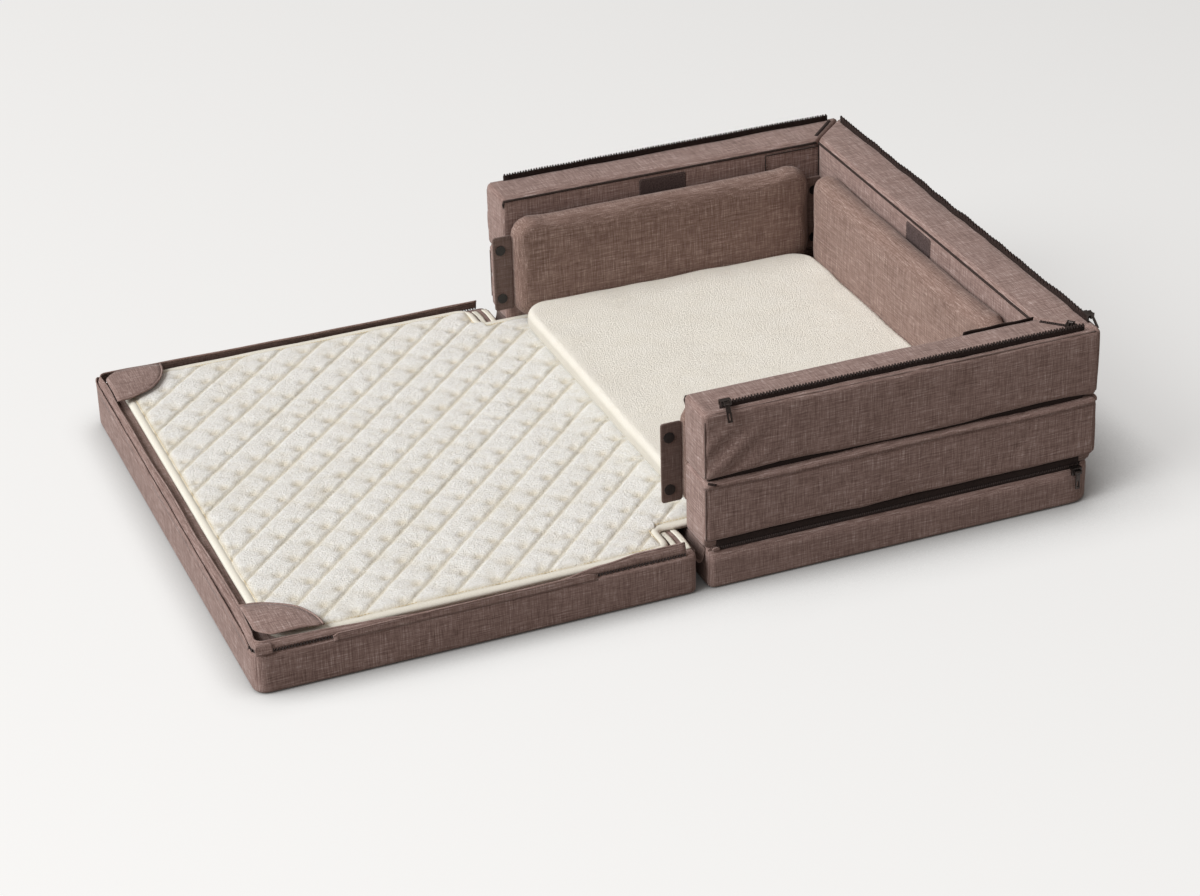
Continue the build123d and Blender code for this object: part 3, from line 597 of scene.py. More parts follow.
# Sizes that no node's box gives
wall_top, wall_thick, waist = 208.0, 53.0, 129.0
wall_foot, mitre_gap = 48.3, 0.4
leaf_round, seam_round, seat_round = 14.0, 8.0, 26.0
band_low, band_depth, band_inset = 43.5, 5.0, 4.4
lip_height, foot_rise = 8.0, 8.6  # the welt under the waist, and the wall's foot over the band
board_depth, board_thick = 57.0, 25.0  # from the wall's outer side, and the board itself


# ---------------------------------------------------------------- slabs


def slab(name, low, high, corners, seed):
    """A slab's cover: a soft box that lies flat on the floor."""
    size = (high.x - low.x, high.y - low.y, slab_top)
    points, faces = soft_box(size, 5.0, corners, 7.0)
    placed = []
    for point, share in points:
        out = swelled(point, share, (1.0, 1.0, 0))
        placed.append(Vector((low.x + out.x, low.y + out.y, out.z)))
    obj = make(name, placed, faces, LINEN)
    ripple(obj, seed, 0.9, 90, 0.5, 70, lambda p: smoothed(p.z / 14))
    for vertex in obj.data.vertices:
        vertex.co.z = max(vertex.co.z, 0.0)
    return obj


leaf_cloth = slab("leaf_slab", leaf_low, leaf_high, (leaf_round, seam_round), 1.0)
dress(leaf_cloth, "leaf", "linen", "leaf_cover", "leaf_core")

seat_ends = Vector((seat_low.x, -side, 0)), Vector((wall_back, side, 0))
seat_cloth = slab("seat_slab", *seat_ends, (seam_round, seat_round), 2.0)
# The seat's upper edge is drawn in for the band, so that the walls' tapes have room
for vertex in seat_cloth.data.vertices:
    place = vertex.co / MM
    drawn = smoothed((place.z - band_low + 1.5) / 1.5) * (band_depth + 0.5)
    for axis, low, high in ((0, seat_low.x - 50, wall_back), (1, -side, side)):
        if place[axis] > high - band_depth:
            vertex.co[axis] = min(vertex.co[axis], (high - drawn) * MM)
        if place[axis] < low + band_depth:
            vertex.co[axis] = max(vertex.co[axis], (low + drawn) * MM)
dress(seat_cloth, "seat", "linen", "seat_cover", "seat_core")


# ---------------------------------------------------------------- walls


class WallFrame:
    """A wall's own directions: along its length, in towards the bed, and up. Each wall ends in
    a mitre, and the back one starts in a mitre too."""

    def __init__(self, name, corner, along, inward, length, mitre_start):
        self.name, self.body = name, f"{name}_wall"
        self.corner, self.along, self.inward = Vector(corner), Vector(along), Vector(inward)
        self.length, self.mitre_start = length, mitre_start

    def ends(self, depth):
        """Where the wall starts and ends along its length, at a depth."""
        start = depth + mitre_gap if self.mitre_start else 0.0
        return start, self.length - (depth + mitre_gap)

    def at(self, distance, depth, height):
        return self.corner + self.along * distance + self.inward * depth + Vector((0, 0, height))


near = WallFrame("near", (wall_front, -side, 0), (1, 0, 0), (0, 1, 0), wall_back - wall_front, False)
far = WallFrame("far", (wall_front, side, 0), (1, 0, 0), (0, -1, 0), wall_back - wall_front, False)
back = WallFrame("back", (wall_back, -side, 0), (0, 1, 0), (-1, 0, 0), 2 * side, True)
walls = (near, far, back)


def slit_gap(wall, distance):
    """How far the waist's slit gapes at a distance along a wall."""
    share = distance / wall.length
    wide = 3.6 * math.exp(-((share - 0.20) / 0.13) ** 2) + 4.4 * math.exp(-((share - 0.84) / 0.12) ** 2)
    ends = smoothed(share / 0.05) * smoothed((1 - share) / 0.05)
    return ends * (1.0 + wide + 0.9 * wavy(distance / 40, wall.corner.y / 50, 2.0))


def pull_fold(distance, height):
    """Soft folds that run up from the slit's end at the wall's free end."""
    return 1.9 * math.exp(-abs(distance - 26) / 34) * math.cos((height * 0.9 - distance * 0.75) / 5.2)


def bolster(wall, low, high, seed, lower):
    """One padded length of a wall. The lower one's outer foot is drawn up over the band, and it
    has a welt along its outer upper edge."""
    size = (wall.length, wall_thick, high - low)
    extra_b = (3.5, 5.5) if lower else ()
    extra_c = (size[2] - lip_height - 1.2, size[2] - lip_height) if lower else ()
    points, faces = soft_box(size, 5.5, (5.5, 5.5), 4.5, ((), extra_b, extra_c))
    placed = []
    for point, share in points:
        out = swelled(point, share, (0.8, 1.2, 0 if lower else 0.8))
        rise = (foot_rise if lower else 0.0) * (1 - smoothed((out.y - 3.5) / 2.5))
        height = low + rise + out.z * (size[2] - rise) / size[2]
        start, end = wall.ends(min(max(out.y, 0), wall_thick))
        distance = start + out.x / wall.length * (end - start)
        depth = out.y
        gap = slit_gap(wall, distance) * (1 - smoothed((out.y - 2) / 16))
        if lower:
            if out.z > size[2] - lip_height - 0.2 and out.y < 6:
                depth -= 1.2
            elif out.y < 4 and out.z > size[2] - lip_height - 4:
                depth += 0.7
            height -= 0.45 * gap * smoothed((out.z - size[2] + 16) / 14)
        else:
            height += 0.8 * gap * smoothed((16 - out.z) / 14)
            if not wall.mitre_start and out.y < 10:
                fade = (1 - smoothed((out.y - 2) / 8)) * smoothed(out.z / 8) * smoothed((70 - out.z) / 30)
                depth -= pull_fold(distance, out.z) * fade
        # The mitre's slider runs over the last length of the side walls, so that stays low
        if not wall.mitre_start and wall.length - distance < 80:
            height = min(height, wall_top)
        placed.append(wall.at(distance, depth, height))
    obj = make(f"{wall.name}_{'lower' if lower else 'upper'}_bolster", placed, faces, LINEN)

    def calm(p):
        inward = (p - wall.corner).dot(wall.inward)
        beyond = wall.length - (p - wall.corner).dot(wall.along)
        by_mitre = 1.0 if wall.mitre_start else 0.25 + 0.75 * smoothed((beyond - 45) / 40)
        return (smoothed((wall_thick - inward) / 10) * 0.8 + 0.2) * by_mitre

    ripple(obj, seed, 1.4, 70, 1.7, 50, calm)
    return obj


for wall, seed in ((near, 3.0), (far, 4.0), (back, 5.0)):
    lower = bolster(wall, wall_foot, waist - 0.5, seed, True)
    dress(lower, wall.body, "linen", f"{wall.name}_wall_core")
    upper = bolster(wall, waist + 0.5, wall_top, seed + 0.5, False)
    dress(upper, wall.body, "linen", f"{wall.name}_wall_cover")


def wall_line(wall, start_gap, end_gap, depth, height, step=8.0):
    """Points along a wall, from its gaps at the seam end and the corner ends."""
    start, end = wall.ends(depth)
    start += end_gap if wall.mitre_start else start_gap
    end -= end_gap
    count = max(2, round((end - start) / step))
    return [wall.at(start + (end - start) * i / count, depth, height) for i in range(count + 1)]


def strip(name, path, up, height, thickness, wave=0.0, seed=0.0):
    """A tape whose foot follows a path and which stands along up, with a slight wave."""
    aside = (path[-1] - path[0]).normalized().cross(up)
    grid = []
    for share in (0, 1 / 3, 2 / 3, 1):
        sways = [wave * share * noise.noise(place / 40 + Vector((seed, 0, seed))) for place in path]
        grid.append([place + up * height * share + aside * sway for place, sway in zip(path, sways)])
    return cloth(name, grid, thickness, TAPE)


for wall in walls:
    # Standing zip on the outer top edge
    foot = wall_line(wall, 20, 12, 6.0, wall_top - 1.0)
    sway = {"near": 0.0, "far": 0.9, "back": 2.6}[wall.name]
    for index, place in enumerate(foot):
        free = smoothed(index / 6) * smoothed((len(foot) - 1 - index) / 6)
        lift = UP * (0.4 + 0.3 * sway * noise.noise(place / 30))
        foot[index] = place + free * (wall.inward * sway * noise.noise(place / 36) + lift)
    tape = strip(f"{wall.name}_zip_tape", foot, UP, 7.6, 1.0, 1.0, 2.0)
    dress(tape, wall.body, "zip_teeth", f"{wall.name}_top_zip")
    teeth = chain(f"{wall.name}_zip_chain", [place + UP * 6.4 for place in foot], 3.4, 3.0, 2.6)
    dress(teeth, wall.body, "zip_teeth")

    # Concealed zip in the waist
    slit = wall_line(wall, 5, 12, 4.6, waist - 4.0)
    dress(strip(f"{wall.name}_waist_tape", slit, UP, 8.0, 1.0), wall.body, "tape", f"{wall.name}_waist_zip")

    # Half of the band's tape, on the wall's foot
    band = wall_line(wall, 14, 14, 4.2, 48.6)
    dress(strip(f"{wall.name}_foot_tape", band, UP, 8.2, 1.2), wall.body, "tape", f"{wall.name}_band_tape")

    # Dark piping along the inner top edge, and down the free end
    edge = wall_line(wall, 2.5, 2.0, wall_thick + 0.2, wall_top - 4.2)
    if not wall.mitre_start:
        edge = [wall.at(1.6, wall_thick + 0.1, height) for height in range(134, 203, 6)] + edge
    dress(tube(f"{wall.name}_piping", edge, 1.5, PIPING), wall.body, "tape")

# Sewn seams along the walls' outer edges: down the side walls' free ends, and under the zips
for wall in (near, far):
    for name, low, high in (("lower", 60, 124), ("upper", 134, 204)):
        line = [wall.at(1.1, 1.1, height) for height in range(low, high, 5)]
        sewn = tube(f"{wall.name}_{name}_end_seam", line, 0.75, LINEN_SEAMS_AND_SHADE, 6, 1.0, wall.along)
        dress(sewn, wall.body, "linen")
for wall in walls:
    line = wall_line(wall, 5, 5, 1.5, wall_top - 1.6)
    dress(tube(f"{wall.name}_top_seam", line, 0.7, LINEN_SEAMS_AND_SHADE, 6), wall.body, "linen")

# Seat's half of the band: one tape round three sides, with the chain on it
band_line = three_sides(seat_low.x + 14, wall_back - band_inset, side - band_inset, 21.0)
band_grid = [[place + UP * height for place in band_line] for height in (43.3, 45.5, 48.0)]
dress(cloth("seat_band", band_grid, 1.2, TAPE), "seat", "tape", "seat_band_tape")
dress(chain("band_chain", [p + UP * 46.2 for p in band_line], 2.4, 2.2, 2.6), "seat", "zip_teeth")


# ---------------------------------------------------------------- boards and mat


def board(wall, start, length, seed):
    """A padded board that stands on the pad inside a wall."""
    low, high = corners_mm(f"{wall.name}_board_cover")
    size = (length, high.z - low.z, board_thick)
    points, faces = soft_box(size, 9.0, (25.0, 25.0), 5.0)
    placed = []
    for point, share in points:
        out = swelled(point, share, (0.6, 0.6, 1.4))
        placed.append(wall.at(start + out.x, board_depth + out.z, low.z + out.y))
    obj = make(f"{wall.name}_board", placed, faces, LINEN_BOARD_SHADED)
    inflated(obj, 2.6)
    ripple(obj, seed, 0.5, 70, 0.4, 60)
    # The ends stay within the board's own length, clear of the tabs
    for vertex in obj.data.vertices:
        distance = (vertex.co / MM - wall.corner).dot(wall.along)
        over = distance - min(max(distance, start + 0.2), start + length - 0.2)
        vertex.co -= wall.along * over * MM
    dress(obj, f"{wall.name}_board", "linen", f"{wall.name}_board_cover", f"{wall.name}_board_core")


for wall, seed in ((near, 6.0), (far, 7.0)):
    low, high = corners_mm(f"{wall.name}_board_cover")
    board(wall, low.x - wall_front, high.x - low.x, seed)
low, high = corners_mm("back_board_cover")
board(back, low.y + side, high.y - low.y, 8.0)

mat_low, mat_high = corners_mm("mat_cover")
points, faces = soft_box(tuple(mat_high - mat_low), 7.5, (30.0, 30.0), 6.0)
placed = []
for point, share in points:
    out = swelled(point, share, (0.8, 0.8, 0))
    rim = max(abs(2 * share[0] - 1), abs(2 * share[1] - 1)) ** 8
    out.z += 2.4 * rim * wavy(point.x / 45, point.y / 45, 3.3) * share[2]
    placed.append(mat_low + out)
mat = make("fleece_mat", placed, faces, FLEECE)
ripple(mat, 9.0, 0.8, 75, 0, 60, lambda p: smoothed((p.z - mat_low.z) / 10))
dress(mat, "mat", "fleece", "mat_cover", "mat_core")


# ---------------------------------------------------------------- quilted pad

pad_low, pad_high = corners_mm("pad_leaf")
seat_pad_high = corners_mm("pad_seat")[1]
pad_start, pad_end = pad_low.x, seat_pad_high.x
leaf_half, seat_half = pad_high.y, seat_pad_high.y
corner_round = 40.0
notch_x, notch_round, notch_step = -265.0, 14.0, 0.8  # where the pad narrows beside the walls
fine_end = -225.0  # the mat covers the pad beyond this, so its mesh is coarser there
fixed_half = seat_half - 26  # rows closer to the middle than this run straight
quilt_pitch = 50.0


def half_width(x):
    """Half the pad's width at a distance along the bed."""
    if x < pad_start + corner_round:
        run = pad_start + corner_round - x
        return leaf_half - corner_round + math.sqrt(max(0, corner_round**2 - run**2))
    if x < notch_x - notch_round:
        return leaf_half
    if x < notch_x:
        run = x - notch_x + notch_round
        return leaf_half - notch_round + math.sqrt(max(0, notch_round**2 - run**2))
    if x < notch_x + notch_step:
        return seat_half + (leaf_half - notch_round - seat_half) * (1 - (x - notch_x) / notch_step)
    return seat_half


def quilt(x, y):
    """Height of the quilted pad over the slab."""
    first = (x + y) / quilt_pitch
    second = (x - y) / quilt_pitch
    near_first = abs(first - round(first)) * 2
    near_second = abs(second - round(second)) * 2
    crisp = (1 - (1 - near_second) ** 9) ** 0.75
    gentle = 1 - 0.12 * (1 - near_first) ** 3
    # The second family's stitches draw a dimple in beside each crisp line
    beside = second - math.floor(second)
    dimple = math.exp(-((beside - 0.76) / 0.14) ** 2 - (near_first / 0.36) ** 2)
    return 5.0 + 3.9 * crisp * gentle * (1 - 0.52 * dimple)


def pad_surface(cell, covered_cell):
    """The pad's upper side, as rows of points across the bed."""
    x_lines = spaced([pad_start, pad_start + 3, pad_start + 12, pad_start + corner_round,
                      notch_x - notch_round, notch_x, notch_x + notch_step, fine_end], cell)
    x_lines += spaced([fine_end, pad_end], covered_cell)[1:]
    y_lines = spaced([-leaf_half, -leaf_half + 12, -fixed_half, fixed_half, leaf_half - 12, leaf_half], cell)
    rows = []
    for x in x_lines:
        width = half_width(x)
        row = []
        for base in y_lines:
            y = base
            if abs(base) > fixed_half:
                share = (width - fixed_half) / (leaf_half - fixed_half)
                y = math.copysign(fixed_half + (abs(base) - fixed_half) * share, base)
            edge = min(width - abs(y), x - pad_start, pad_end - x)
            if abs(y) > seat_half:
                edge = min(edge, notch_x - x)
            height = quilt(x, y) * (0.45 + 0.55 * smoothed(edge / 16))
            height += 0.5 * wavy(x / 14, y / 14, 1.0) + 0.5 * wavy(x / 60, y / 60, 4.0)
            row.append(Vector((x, y, slab_top + max(2.2, height))))
        rows.append(row)
    return rows


rows = pad_surface(2.6, 9.0)
pad_under = [[Vector((place.x, place.y, slab_top + 0.2)) for place in row] for row in rows]
pad = sandwich("quilted_pad", rows, pad_under, TERRY)
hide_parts("pad_leaf", "pad_seat")
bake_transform(pad)

# Binding round the pad's edge, and the stitch line inside it
pad_corners = [
    Vector((pad_start, -leaf_half, 0)), Vector((notch_x, -leaf_half, 0)), Vector((notch_x, -seat_half, 0)),
    Vector((pad_end, -seat_half, 0)), Vector((pad_end, seat_half, 0)), Vector((notch_x, seat_half, 0)),
    Vector((notch_x, leaf_half, 0)), Vector((pad_start, leaf_half, 0)),
]


def inset_outline(amount, radii, height):
    """The pad's outline at a height, drawn in by an amount."""
    points = []
    for corner in pad_corners:
        x = corner.x + (amount if corner.x == pad_start else -amount)
        y = corner.y - math.copysign(amount, corner.y)
        points.append(Vector((x, y, height)))
    return rounded_outline(points, radii, 2.5)


binding_path = dense(inset_outline(4.4, (36, 16, 12, 6, 6, 12, 16, 36), slab_top + 3.6), 6.0)
binding_path = [p + UP * 0.5 * noise.noise(p / 45) for p in binding_path]
binding = tube("pad_binding", binding_path, 5.2, BINDING, 12, 0.66, UP, True)
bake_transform(binding)
seam_path = dense(inset_outline(9.0, (31, 11, 16, 3, 3, 16, 11, 31), slab_top + 6.3), 6.0)
seam_line = stitches("pad_stitches", seam_path + seam_path[:1], THREAD_CREAM, 2.6, 1.0, UP, 0.4, 0.9)
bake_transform(seam_line)


# ---------------------------------------------------------------- leaf's zip and flap

# The flap's foot, with the outward direction and the distance run at each of its points
rim_inset = 2.6
rim_path = dense(three_sides(
    leaf_high.x - 12, leaf_low.x + rim_inset, side - rim_inset, leaf_round - rim_inset), 5.0, False)
rim_outs, distances = [], [0.0]
for i, place in enumerate(rim_path):
    along = rim_path[min(i + 1, len(rim_path) - 1)] - rim_path[max(i - 1, 0)]
    rim_outs.append(Vector((-along.y, along.x, 0)).normalized())
    if i:
        distances.append(distances[-1] + (place - rim_path[i - 1]).length)
# Stations along the flap: distance from the near seam end, lean inwards, and height
stations = (
    (0, 3.0, 12.0), (46, 2.5, 12.5), (92, 1.0, 9.0), (144, -1.5, 4.0), (208, -2.0, 3.0), (290, -1.0, 3.6),
    (340, 2.5, 5.5), (403, 4.5, 7.5), (440, 4.0, 9.0), (466, 3.0, 10.5), (492, 6.0, 9.0), (560, 9.5, 6.5),
    (640, 9.0, 5.5), (700, 7.5, 5.5), (800, 8.0, 5.0), (900, 6.5, 5.5), (990, 6.0, 6.5), (1070, 6.5, 8.0),
    (1096, 2.0, 12.5), (1125, 1.5, 12.5), (1160, 1.5, 11.5), (1300, 2.5, 10.5), (1450, 2.0, 10.0),
    (1650, 3.0, 10.5),
)


def station(distance, column):
    """A column of the stations at a distance, eased between them."""
    for low, high in zip(stations, stations[1:]):
        if distance <= high[0]:
            share = smoothed((distance - low[0]) / (high[0] - low[0]))
            return low[column] + (high[column] - low[column]) * share
    return stations[-1][column]


flap_rows = []
for share in (0, 0.25, 0.5, 0.75, 1.0):
    line = []
    for place, out, distance in zip(rim_path, rim_outs, distances):
        lean = station(distance, 1) + 0.8 * wavy(distance / 45, 0.5, 7.0)
        rise = slab_top + 1.6 + (station(distance, 2) - 1.0) * share
        bow = 0.9 * math.sin(share * math.pi)
        line.append(place - out * (lean * share**1.3 - bow) + UP * rise)
    flap_rows.append(line)
flap = dress(cloth("leaf_zip_flap", flap_rows, 1.2, LINEN), "leaf", "linen", "leaf_flap")
hem = dress(tube("leaf_flap_hem", flap_rows[-1], 1.1, LINEN), "leaf", "linen")
# Painted shade: a dark sheet just inside the flap, for the shade on its inner side.
inner_shade_rows = [[p - out * 1.0 for p, out in zip(row, rim_outs)] for row in flap_rows[:-1]]
flap_inner_shade = dress(cloth("leaf_flap_inner_shade", inner_shade_rows, 0.6, LINEN_SEAMS_AND_SHADE), "leaf", "linen")
cut(flap_rows)
coil_path = [p + out * 0.6 + UP * (slab_top - 0.4) for p, out in zip(rim_path, rim_outs)]
dress(chain("leaf_zip_chain", coil_path, 3.2, 3.0, 2.4), "leaf", "zip_teeth", "leaf_chain")


def outer_lip(name, first, last, base, gapes, tip, clear):
    """The slab's own edge standing up as a loose lip from one distance to another, so that the
    zip gapes. Each gape is a place along it, a width and a share, the tip is how far its last
    end stands up, and clear is how far it stands off the zip's line."""
    span = [i for i, distance in enumerate(distances) if first < distance < last]
    begin, end = distances[span[0]], distances[span[-1]]
    rows = []
    for share in (0, 0.35, 0.7, 1.0):
        line = []
        for i in span:
            along = (distances[i] - begin) / (end - begin)
            gape = sum(part * math.exp(-((along - place) / wide) ** 2) for place, wide, part in gapes)
            point = math.exp(-((along - 0.985) / 0.012) ** 2)
            rise = base + 1.6 * gape + 0.8 * wavy(distances[i] / 38, 3.0, 1.0)
            rise *= 0.35 + 0.65 * smoothed(along / 0.04) * smoothed((1 - along) / 0.02)
            height = slab_top - 4.0 + (4.0 + rise + tip * point) * share
            out = clear + 0.9 * share * gape - 0.9 * share + 0.3 * tip * share * point
            line.append(rim_path[i] + rim_outs[i] * out + UP * height)
        rows.append(line)
    lip = dress(cloth(name, rows, 1.0, LINEN), "leaf", "linen")
    lip_hem = dress(tube(f"{name}_hem", rows[-1], 0.85, LINEN), "leaf", "linen")
    cut(rows)


outer_lip("leaf_outer_lip", 472, 1106, 4.0, ((0.14, 0.09, 1.0), (0.88, 0.08, 0.8)), 5.5, 2.2)
outer_lip("leaf_near_lip", 96, 388, 4.2, ((0.45, 0.2, 0.4),), 0.0, 3.0)

# Quarter-round pockets over the pad's outer corners
steps = 12
for name, sign in (("near", -1), ("far", 1)):
    low, high = corners_mm(f"{name}_corner_pocket")
    corner = Vector((low.x, sign * max(abs(low.y), abs(high.y)), 0))
    reach = high.x - low.x
    rows = []
    for i in range(steps + 1):
        row = []
        for j in range(steps + 1):
            u, v = i / steps, j / steps
            # A square turned into a quarter disc, with a small round at the corner itself
            scale = max(u, v) / math.hypot(u, v) if u or v else 1.0
            drawn = max(0.0, 0.22 - max(u, v)) * 0.45 if u + v < 0.44 else 0.0
            x, y = u * scale + drawn, v * scale + drawn
            arc = math.hypot(x, y)
            height = low.z + 0.8 + 0.96 * math.sin(arc * math.pi) - 1.2 * smoothed((arc - 0.7) / 0.3)
            height += 0.9 * smoothed(arc) * wavy(x * 3, y * 3, 2.0 + sign)
            row.append(corner + Vector((x * reach, -sign * y * reach, height)))
        rows.append(row)
    pocket = cloth(f"{name}_pocket", rows, 1.1, LINEN)
    dress(pocket, "leaf", "linen", f"{name}_corner_pocket")
    rim_line = rows[steps] + [rows[i][steps] for i in range(steps - 1, -1, -1)]
    pocket_rim = tube(f"{name}_pocket_binding", [p + UP * 0.2 for p in rim_line], 1.3, LINEN)
    dress(pocket_rim, "leaf", "linen")
    cut(rows)

# Hinge web in the seam, in the darker linen as painted shade in the gap between the slabs
low, high = corners_mm("hinge_web")
wide, deep = (high.x - low.x) * 0.46, high.z - low.z
turns = [math.pi * step / 12 for step in range(13)]
rows = [[Vector((seam - wide * math.cos(turn), y, high.z - deep * math.sin(turn))) for turn in turns]
        for y in spaced([low.y, high.y], 40)]
web = cloth("hinge_fold", rows, 1.2, LINEN_SEAMS_AND_SHADE)
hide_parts("hinge_web")
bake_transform(web)
cut(rows)

# Elastic straps at the pad's seam corners
strap_end = 308
for index, (x, sign) in enumerate(((-259.0, 1), (-247.0, 1), (-259.0, -1), (-247.0, -1))):
    rows = []
    for step in range(15):
        share = step / 14
        y = sign * (seat_half + 0.5 + (strap_end - seat_half) * share)
        height = slab_top + 0.8 + 2.2 * math.sin(math.pi * share)
        rows.append([Vector((x + off, y, height)) for off in (-3.0, -1.0, 1.0, 3.0)])
    dress(cloth(f"pad_strap_{index + 1}", rows, 1.1, ELASTIC), "leaf", "elastic", "pad_straps")


# ---------------------------------------------------------------- patches, flaps, tabs


class Face:
    """A flat face: its lower left corner, its ways right and up, its width and its height."""

    def __init__(self, origin, right, up, width, height):
        self.origin, self.right, self.up = origin, right, up
        self.width, self.height = width, height
        self.normal = right.cross(up).normalized()

    def at(self, u, v, lift):
        return self.origin + self.right * u + self.up * v + self.normal * lift

    def outline(self, inset, lift):
        """A closed rectangle, in from the face's edge."""
        end, top = self.width - inset, self.height - inset
        corners = ((inset, inset), (end, inset), (end, top), (inset, top), (inset, inset))
        return [self.at(u, v, lift) for u, v in corners]


def inner_face(node, wall, depth=None):
    """A node's face towards the bed, at a depth from the wall's outer side or in its middle."""
    low, high = corners_mm(node)
    run, across = (1, 0) if wall is back else (0, 1)  # the axes along the wall and through it
    left, right = (low, wall.along) if wall is far else (high, -wall.along)
    origin = Vector((left.x, left.y, low.z))
    if depth is None:
        origin[across] = (low[across] + high[across]) / 2
    else:
        origin[across] = wall.corner[across] + wall.inward[across] * depth
    return Face(origin, right, UP, high[run] - low[run], high.z - low.z)


def patch(name, face, thickness, material, wave, seed, cell=5.0):
    """A piece of cloth over a face, with softly rounded corners."""
    width, height = face.width, face.height
    rows = []
    for v in spaced([0, 1.5, 4, height - 4, height - 1.5, height], cell):
        line = []
        for u in spaced([0, 1.5, 4, width - 4, width - 1.5, width], cell):
            # The outermost points are drawn in, which rounds the corners
            pull = max(0.0, 2.0 - math.hypot(min(u, width - u), min(v, height - v))) * 0.5
            across = u + (pull if u < width / 2 else -pull)
            over = v + (pull if v < height / 2 else -pull)
            line.append(face.at(across, over, wave * wavy(u / 30 + seed, v / 30, seed)))
        rows.append(line)
    obj = cloth(name, rows, thickness, material)
    cut(rows)
    return obj


def sew(name, face, inset, lift, body, slot):
    """A rectangle of stitches on a face, in from its edge."""
    dress(stitches(name, face.outline(inset, lift), THREAD, 2.2, 1.2, face.normal, 0.1, 0.5), body, slot)


for wall in walls:
    face = inner_face(f"{wall.name}_hook_patch", wall, wall_thick + 0.7)
    hook = patch(f"{wall.name}_hook", face, 1.2, HOOK, 0.3, 1.0)
    dress(hook, wall.body, "hook_tape", f"{wall.name}_hook_patch")
    sew(f"{wall.name}_hook_stitches", face, 1.8, 0.6, wall.body, "tape")

for wall, sign in ((near, -1), (far, 1)):
    name = wall.name
    face = inner_face(f"{name}_corner_flap", wall, wall_thick + 0.9)
    corner_flap = patch(f"{name}_flap", face, 1.4, LINEN, 0.5, 4.0 + sign)
    dress(corner_flap, wall.body, "linen", f"{name}_corner_flap")
    sew(f"{name}_flap_stitches", face, 3.0, 0.8, wall.body, "linen")
    hem_path = dense(face.outline(0.4, 0.9)[:4], 6.0)
    dress(tube(f"{name}_flap_hem", hem_path, 0.8, PIPING, 6, 1.0, face.normal, True), wall.body, "linen")

    # Loose end of the waist's zip at the wall's free end
    loose = [wall.at(run, 3.0 - run * 0.42, waist - 1.2 - run * 0.22) for run in (4, 6, 8, 10, 12)]
    dress(tube(f"{name}_waist_end", loose, 1.8, TAPE, 8, 0.6), wall.body, "tape")

    # Zip beside the mitre
    low, high = corners_mm(f"{name}_mitre_zip")
    start = Vector((low.x + 2, sign * (min(abs(low.y), abs(high.y)) + 2), wall_top + 0.2))
    finish = Vector((high.x - 2, sign * (max(abs(low.y), abs(high.y)) - 2), wall_top + 0.2))
    aside = (finish - start).normalized().cross(UP)
    grid = [[start + (finish - start) * i / 12 + aside * off for i in range(13)] for off in (-2.0, 0, 2.0)]
    dress(cloth(f"{name}_mitre_tape", grid, 1.0, TAPE), wall.body, "tape", f"{name}_mitre_zip")
    mitre_teeth = chain(f"{name}_mitre_teeth", [start + UP * 0.3, finish + UP * 0.3], 2.2, 1.1, 2.4, 0)
    dress(mitre_teeth, wall.body, "zip_teeth")

    # Snap tabs: the front one swings, the rear one is fixed to the board
    for place, body in (("front", f"{name}_tab"), ("rear", f"{name}_board")):
        face = inner_face(f"{name}_{place}_tab", wall)
        # Painted shade: the snap tabs are in the darker linen, for the shade that they sit in.
        tab = patch(f"{name}_{place}_snap", face, 1.6, LINEN_SEAMS_AND_SHADE, 0.0, 2.0)
        dress(tab, body, "linen", f"{name}_{place}_tab")
        sew(f"{name}_{place}_snap_stitches", face, 2.2, 0.9, body, "linen")

# Folded end of the leaf's cover at its near outer corner
face = Face(Vector((leaf_low.x + 3, -side + 0.6, slab_top - 1.5)), Vector((1, 0, 0)),
            Vector((0, 0.22, 0.975)), 18.0, 11.5)
corner_tab = patch("leaf_corner_tab", face, 2.2, LINEN, 0.6, 6.0, 3.0)
dress(corner_tab, "leaf", "linen")

# Loose tape of the mitre's zip along the near wall's inner edge
tail_start = wall_back - wall_front - wall_thick - 86
tail = [near.at(tail_start + 4 * i, wall_thick - 1.4 + 0.6 * math.sin(i * 0.7), wall_top - 1.5)
        for i in range(22)]
dress(strip("near_mitre_tail", tail, Vector((0, -0.35, 0.94)), 5.0, 1.2, 0.8, 3.0), near.body, "tape")

# End tabs of the band
low, high = corners_mm("band_end_tabs")
for name, sign in (("near", -1), ("far", 1)):
    origin = Vector((low.x if sign < 0 else high.x, sign * (side - 3.4), low.z))
    face = Face(origin, Vector((-sign, 0, 0)), UP, high.x - low.x, high.z - low.z)
    tab = patch(f"{name}_band_end", face, 1.5, LINEN, 0.2, 3.0, 3.0)
    dress(tab, "seat", "linen", "band_end_tabs")


# ---------------------------------------------------------------- hardware that stays as CAD

for name, node in nodes.items():
    if name.endswith(("_slider", "_pull")):
        material = METAL
    elif name.endswith("_studs"):
        material = STUD
    else:
        material = LINEN_SEAMS_AND_SHADE
    node.data.materials.clear()
    node.data.materials.append(material)

# ---------------------------------------------------------------- floor, light and camera

floor_reach = 9.0
corners = [(x * floor_reach, y * floor_reach, 0) for x, y in ((-1, -1), (1, -1), (1, 1), (-1, 1))]
floor_mesh = bpy.data.meshes.new("studio_floor")
floor_mesh.from_pydata(corners, [], [(0, 1, 2, 3)])
floor = bpy.data.objects.new("studio_floor", floor_mesh)
scene.collection.objects.link(floor)
ground = Paint("studio_floor")


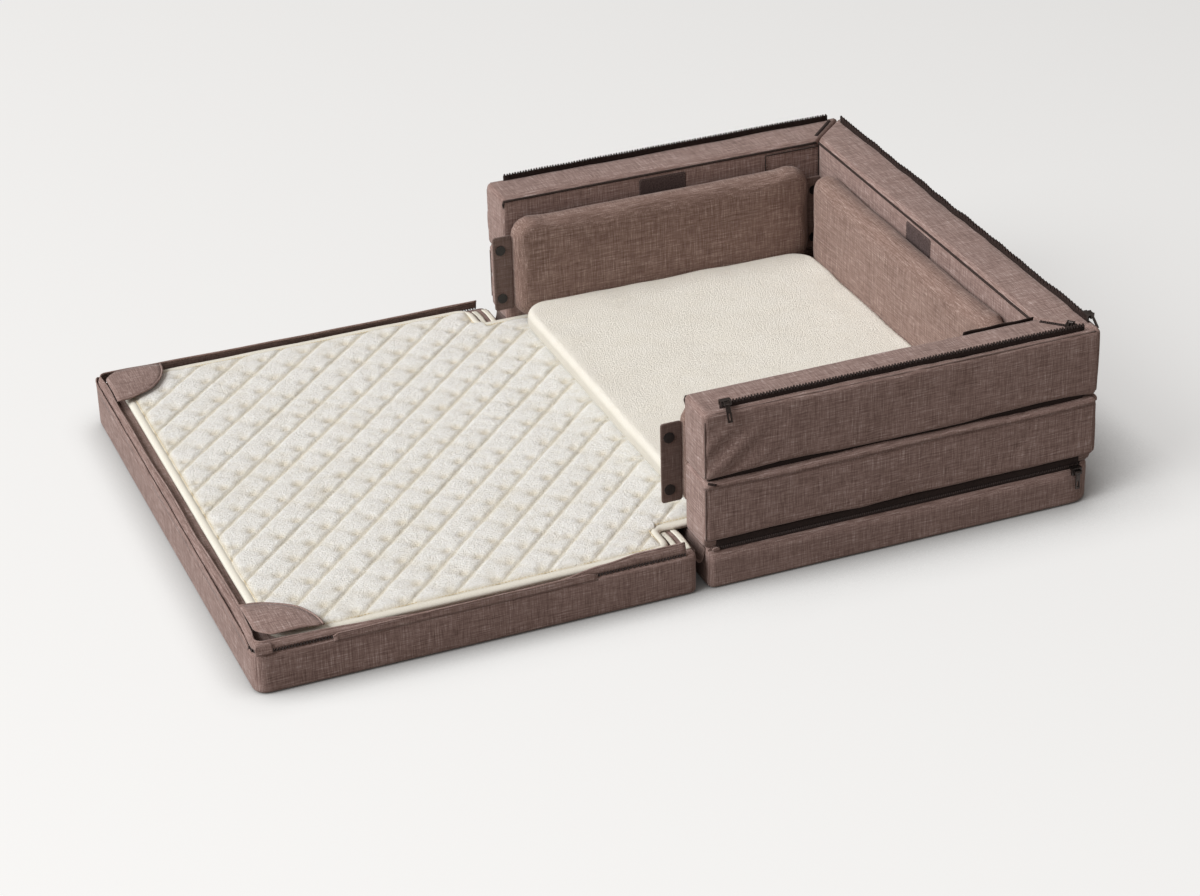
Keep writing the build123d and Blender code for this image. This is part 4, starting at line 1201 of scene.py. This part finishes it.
def shaded(colour, distance, start, dark, end, lean=None):
    """A colour that falls to dark where the piece is close, on the side that lean faces."""
    inputs = {"Distance": distance, "Color": (1, 1, 1, 1)}
    if lean:
        facing = ground.put("ShaderNodeCombineXYZ", {}, dict(enumerate(lean)))
        inputs["Normal"] = facing.outputs[0]
    close = ground.put("ShaderNodeAmbientOcclusion", {"samples": 8}, inputs)
    return ground.times(colour, ground.ramp(close.outputs["AO"], (start, (dark, dark, dark)), (end, WHITE)))


# The floor is a little brighter towards the front left, as in the photo's studio
# Painted light: this gradient is a pool of light painted into the floor's colour.
slope = ground.put("ShaderNodeVectorMath", {"operation": "DOT_PRODUCT"},
                   {0: ground.where(), 1: (-0.066, -0.029, 0.0)})
level = ground.maths("ADD", slope.outputs["Value"], 0.850)
floor_painted_light = ground.ramp(level, (0.0, (0.0, 0.0, 0.0)), (1.0, (1.0, 0.993, 0.983)))
# The contact shadow falls to the side that faces away from the key light
lit = shaded(floor_painted_light, 0.155, 0.40, 0.10, 0.80, (-0.84, 0.02, 0.54))
lit = shaded(lit, 0.05, 0.42, 0.26, 0.92)
glow = ground.put("ShaderNodeEmission", {}, {"Color": lit, "Strength": 0.66})
matte = ground.put("ShaderNodeBsdfDiffuse", {}, {"Color": ground.times(floor_painted_light, (0.34, 0.34, 0.34, 1))})
seen = ground.put("ShaderNodeAddShader", {}, {0: glow.outputs[0], 1: matte.outputs[0]})
# What the piece receives from the floor is a duller bounce than what the camera sees
bounce = ground.put("ShaderNodeBsdfDiffuse", {}, {"Color": (0.27, 0.250, 0.235, 1)})
rays = ground.put("ShaderNodeLightPath")
clear = ground.maths("MAXIMUM", rays.outputs["Is Glossy Ray"], rays.outputs["Is Transmission Ray"])
direct = ground.maths("MAXIMUM", rays.outputs["Is Camera Ray"], clear)
both = ground.put("ShaderNodeMixShader", {}, {0: direct, 1: bounce.outputs[0], 2: seen.outputs[0]})
ground.put("ShaderNodeOutputMaterial", {}, {"Surface": both.outputs[0]})
floor_mesh.materials.append(ground.material)

world = bpy.data.worlds.new("studio")
scene.world = world
world.use_nodes = True
sky = world.node_tree.nodes["Background"].inputs
sky["Color"].default_value = (1.0, 0.90, 0.83, 1)
sky["Strength"].default_value = 0.33

sun_data = bpy.data.lights.new("key_light", "SUN")
sun_data.energy = 3.6
sun_data.angle = math.radians(40)
sun_data.color = (0.985, 1.0, 1.0)
sun = bpy.data.objects.new("key_light", sun_data)
sun.rotation_euler = Vector((-0.76, -0.04, 0.60)).to_track_quat("Z", "Y").to_euler()
scene.collection.objects.link(sun)

# The photo's camera, fitted to the corners of the slabs and walls
aim, distance, roll = Vector((-0.2170, 0.0141, 0.0)), 3.600, -0.0303
backward = Vector((-0.3169, -0.8169, 0.4819)).normalized()
right = UP.cross(backward).normalized()
over = backward.cross(right)
right_turned = right * math.cos(roll) + over * math.sin(roll)
up_turned = over * math.cos(roll) - right * math.sin(roll)
camera_data = bpy.data.cameras.new("camera")
camera_data.sensor_width = 36.0
camera_data.lens = 95.36
camera = bpy.data.objects.new("camera", camera_data)
turned = Matrix((right_turned, up_turned, backward)).transposed().to_4x4()
camera.matrix_world = Matrix.Translation(aim + backward * distance) @ turned
scene.collection.objects.link(camera)
scene.camera = camera

scene.view_settings.view_transform = "Standard"
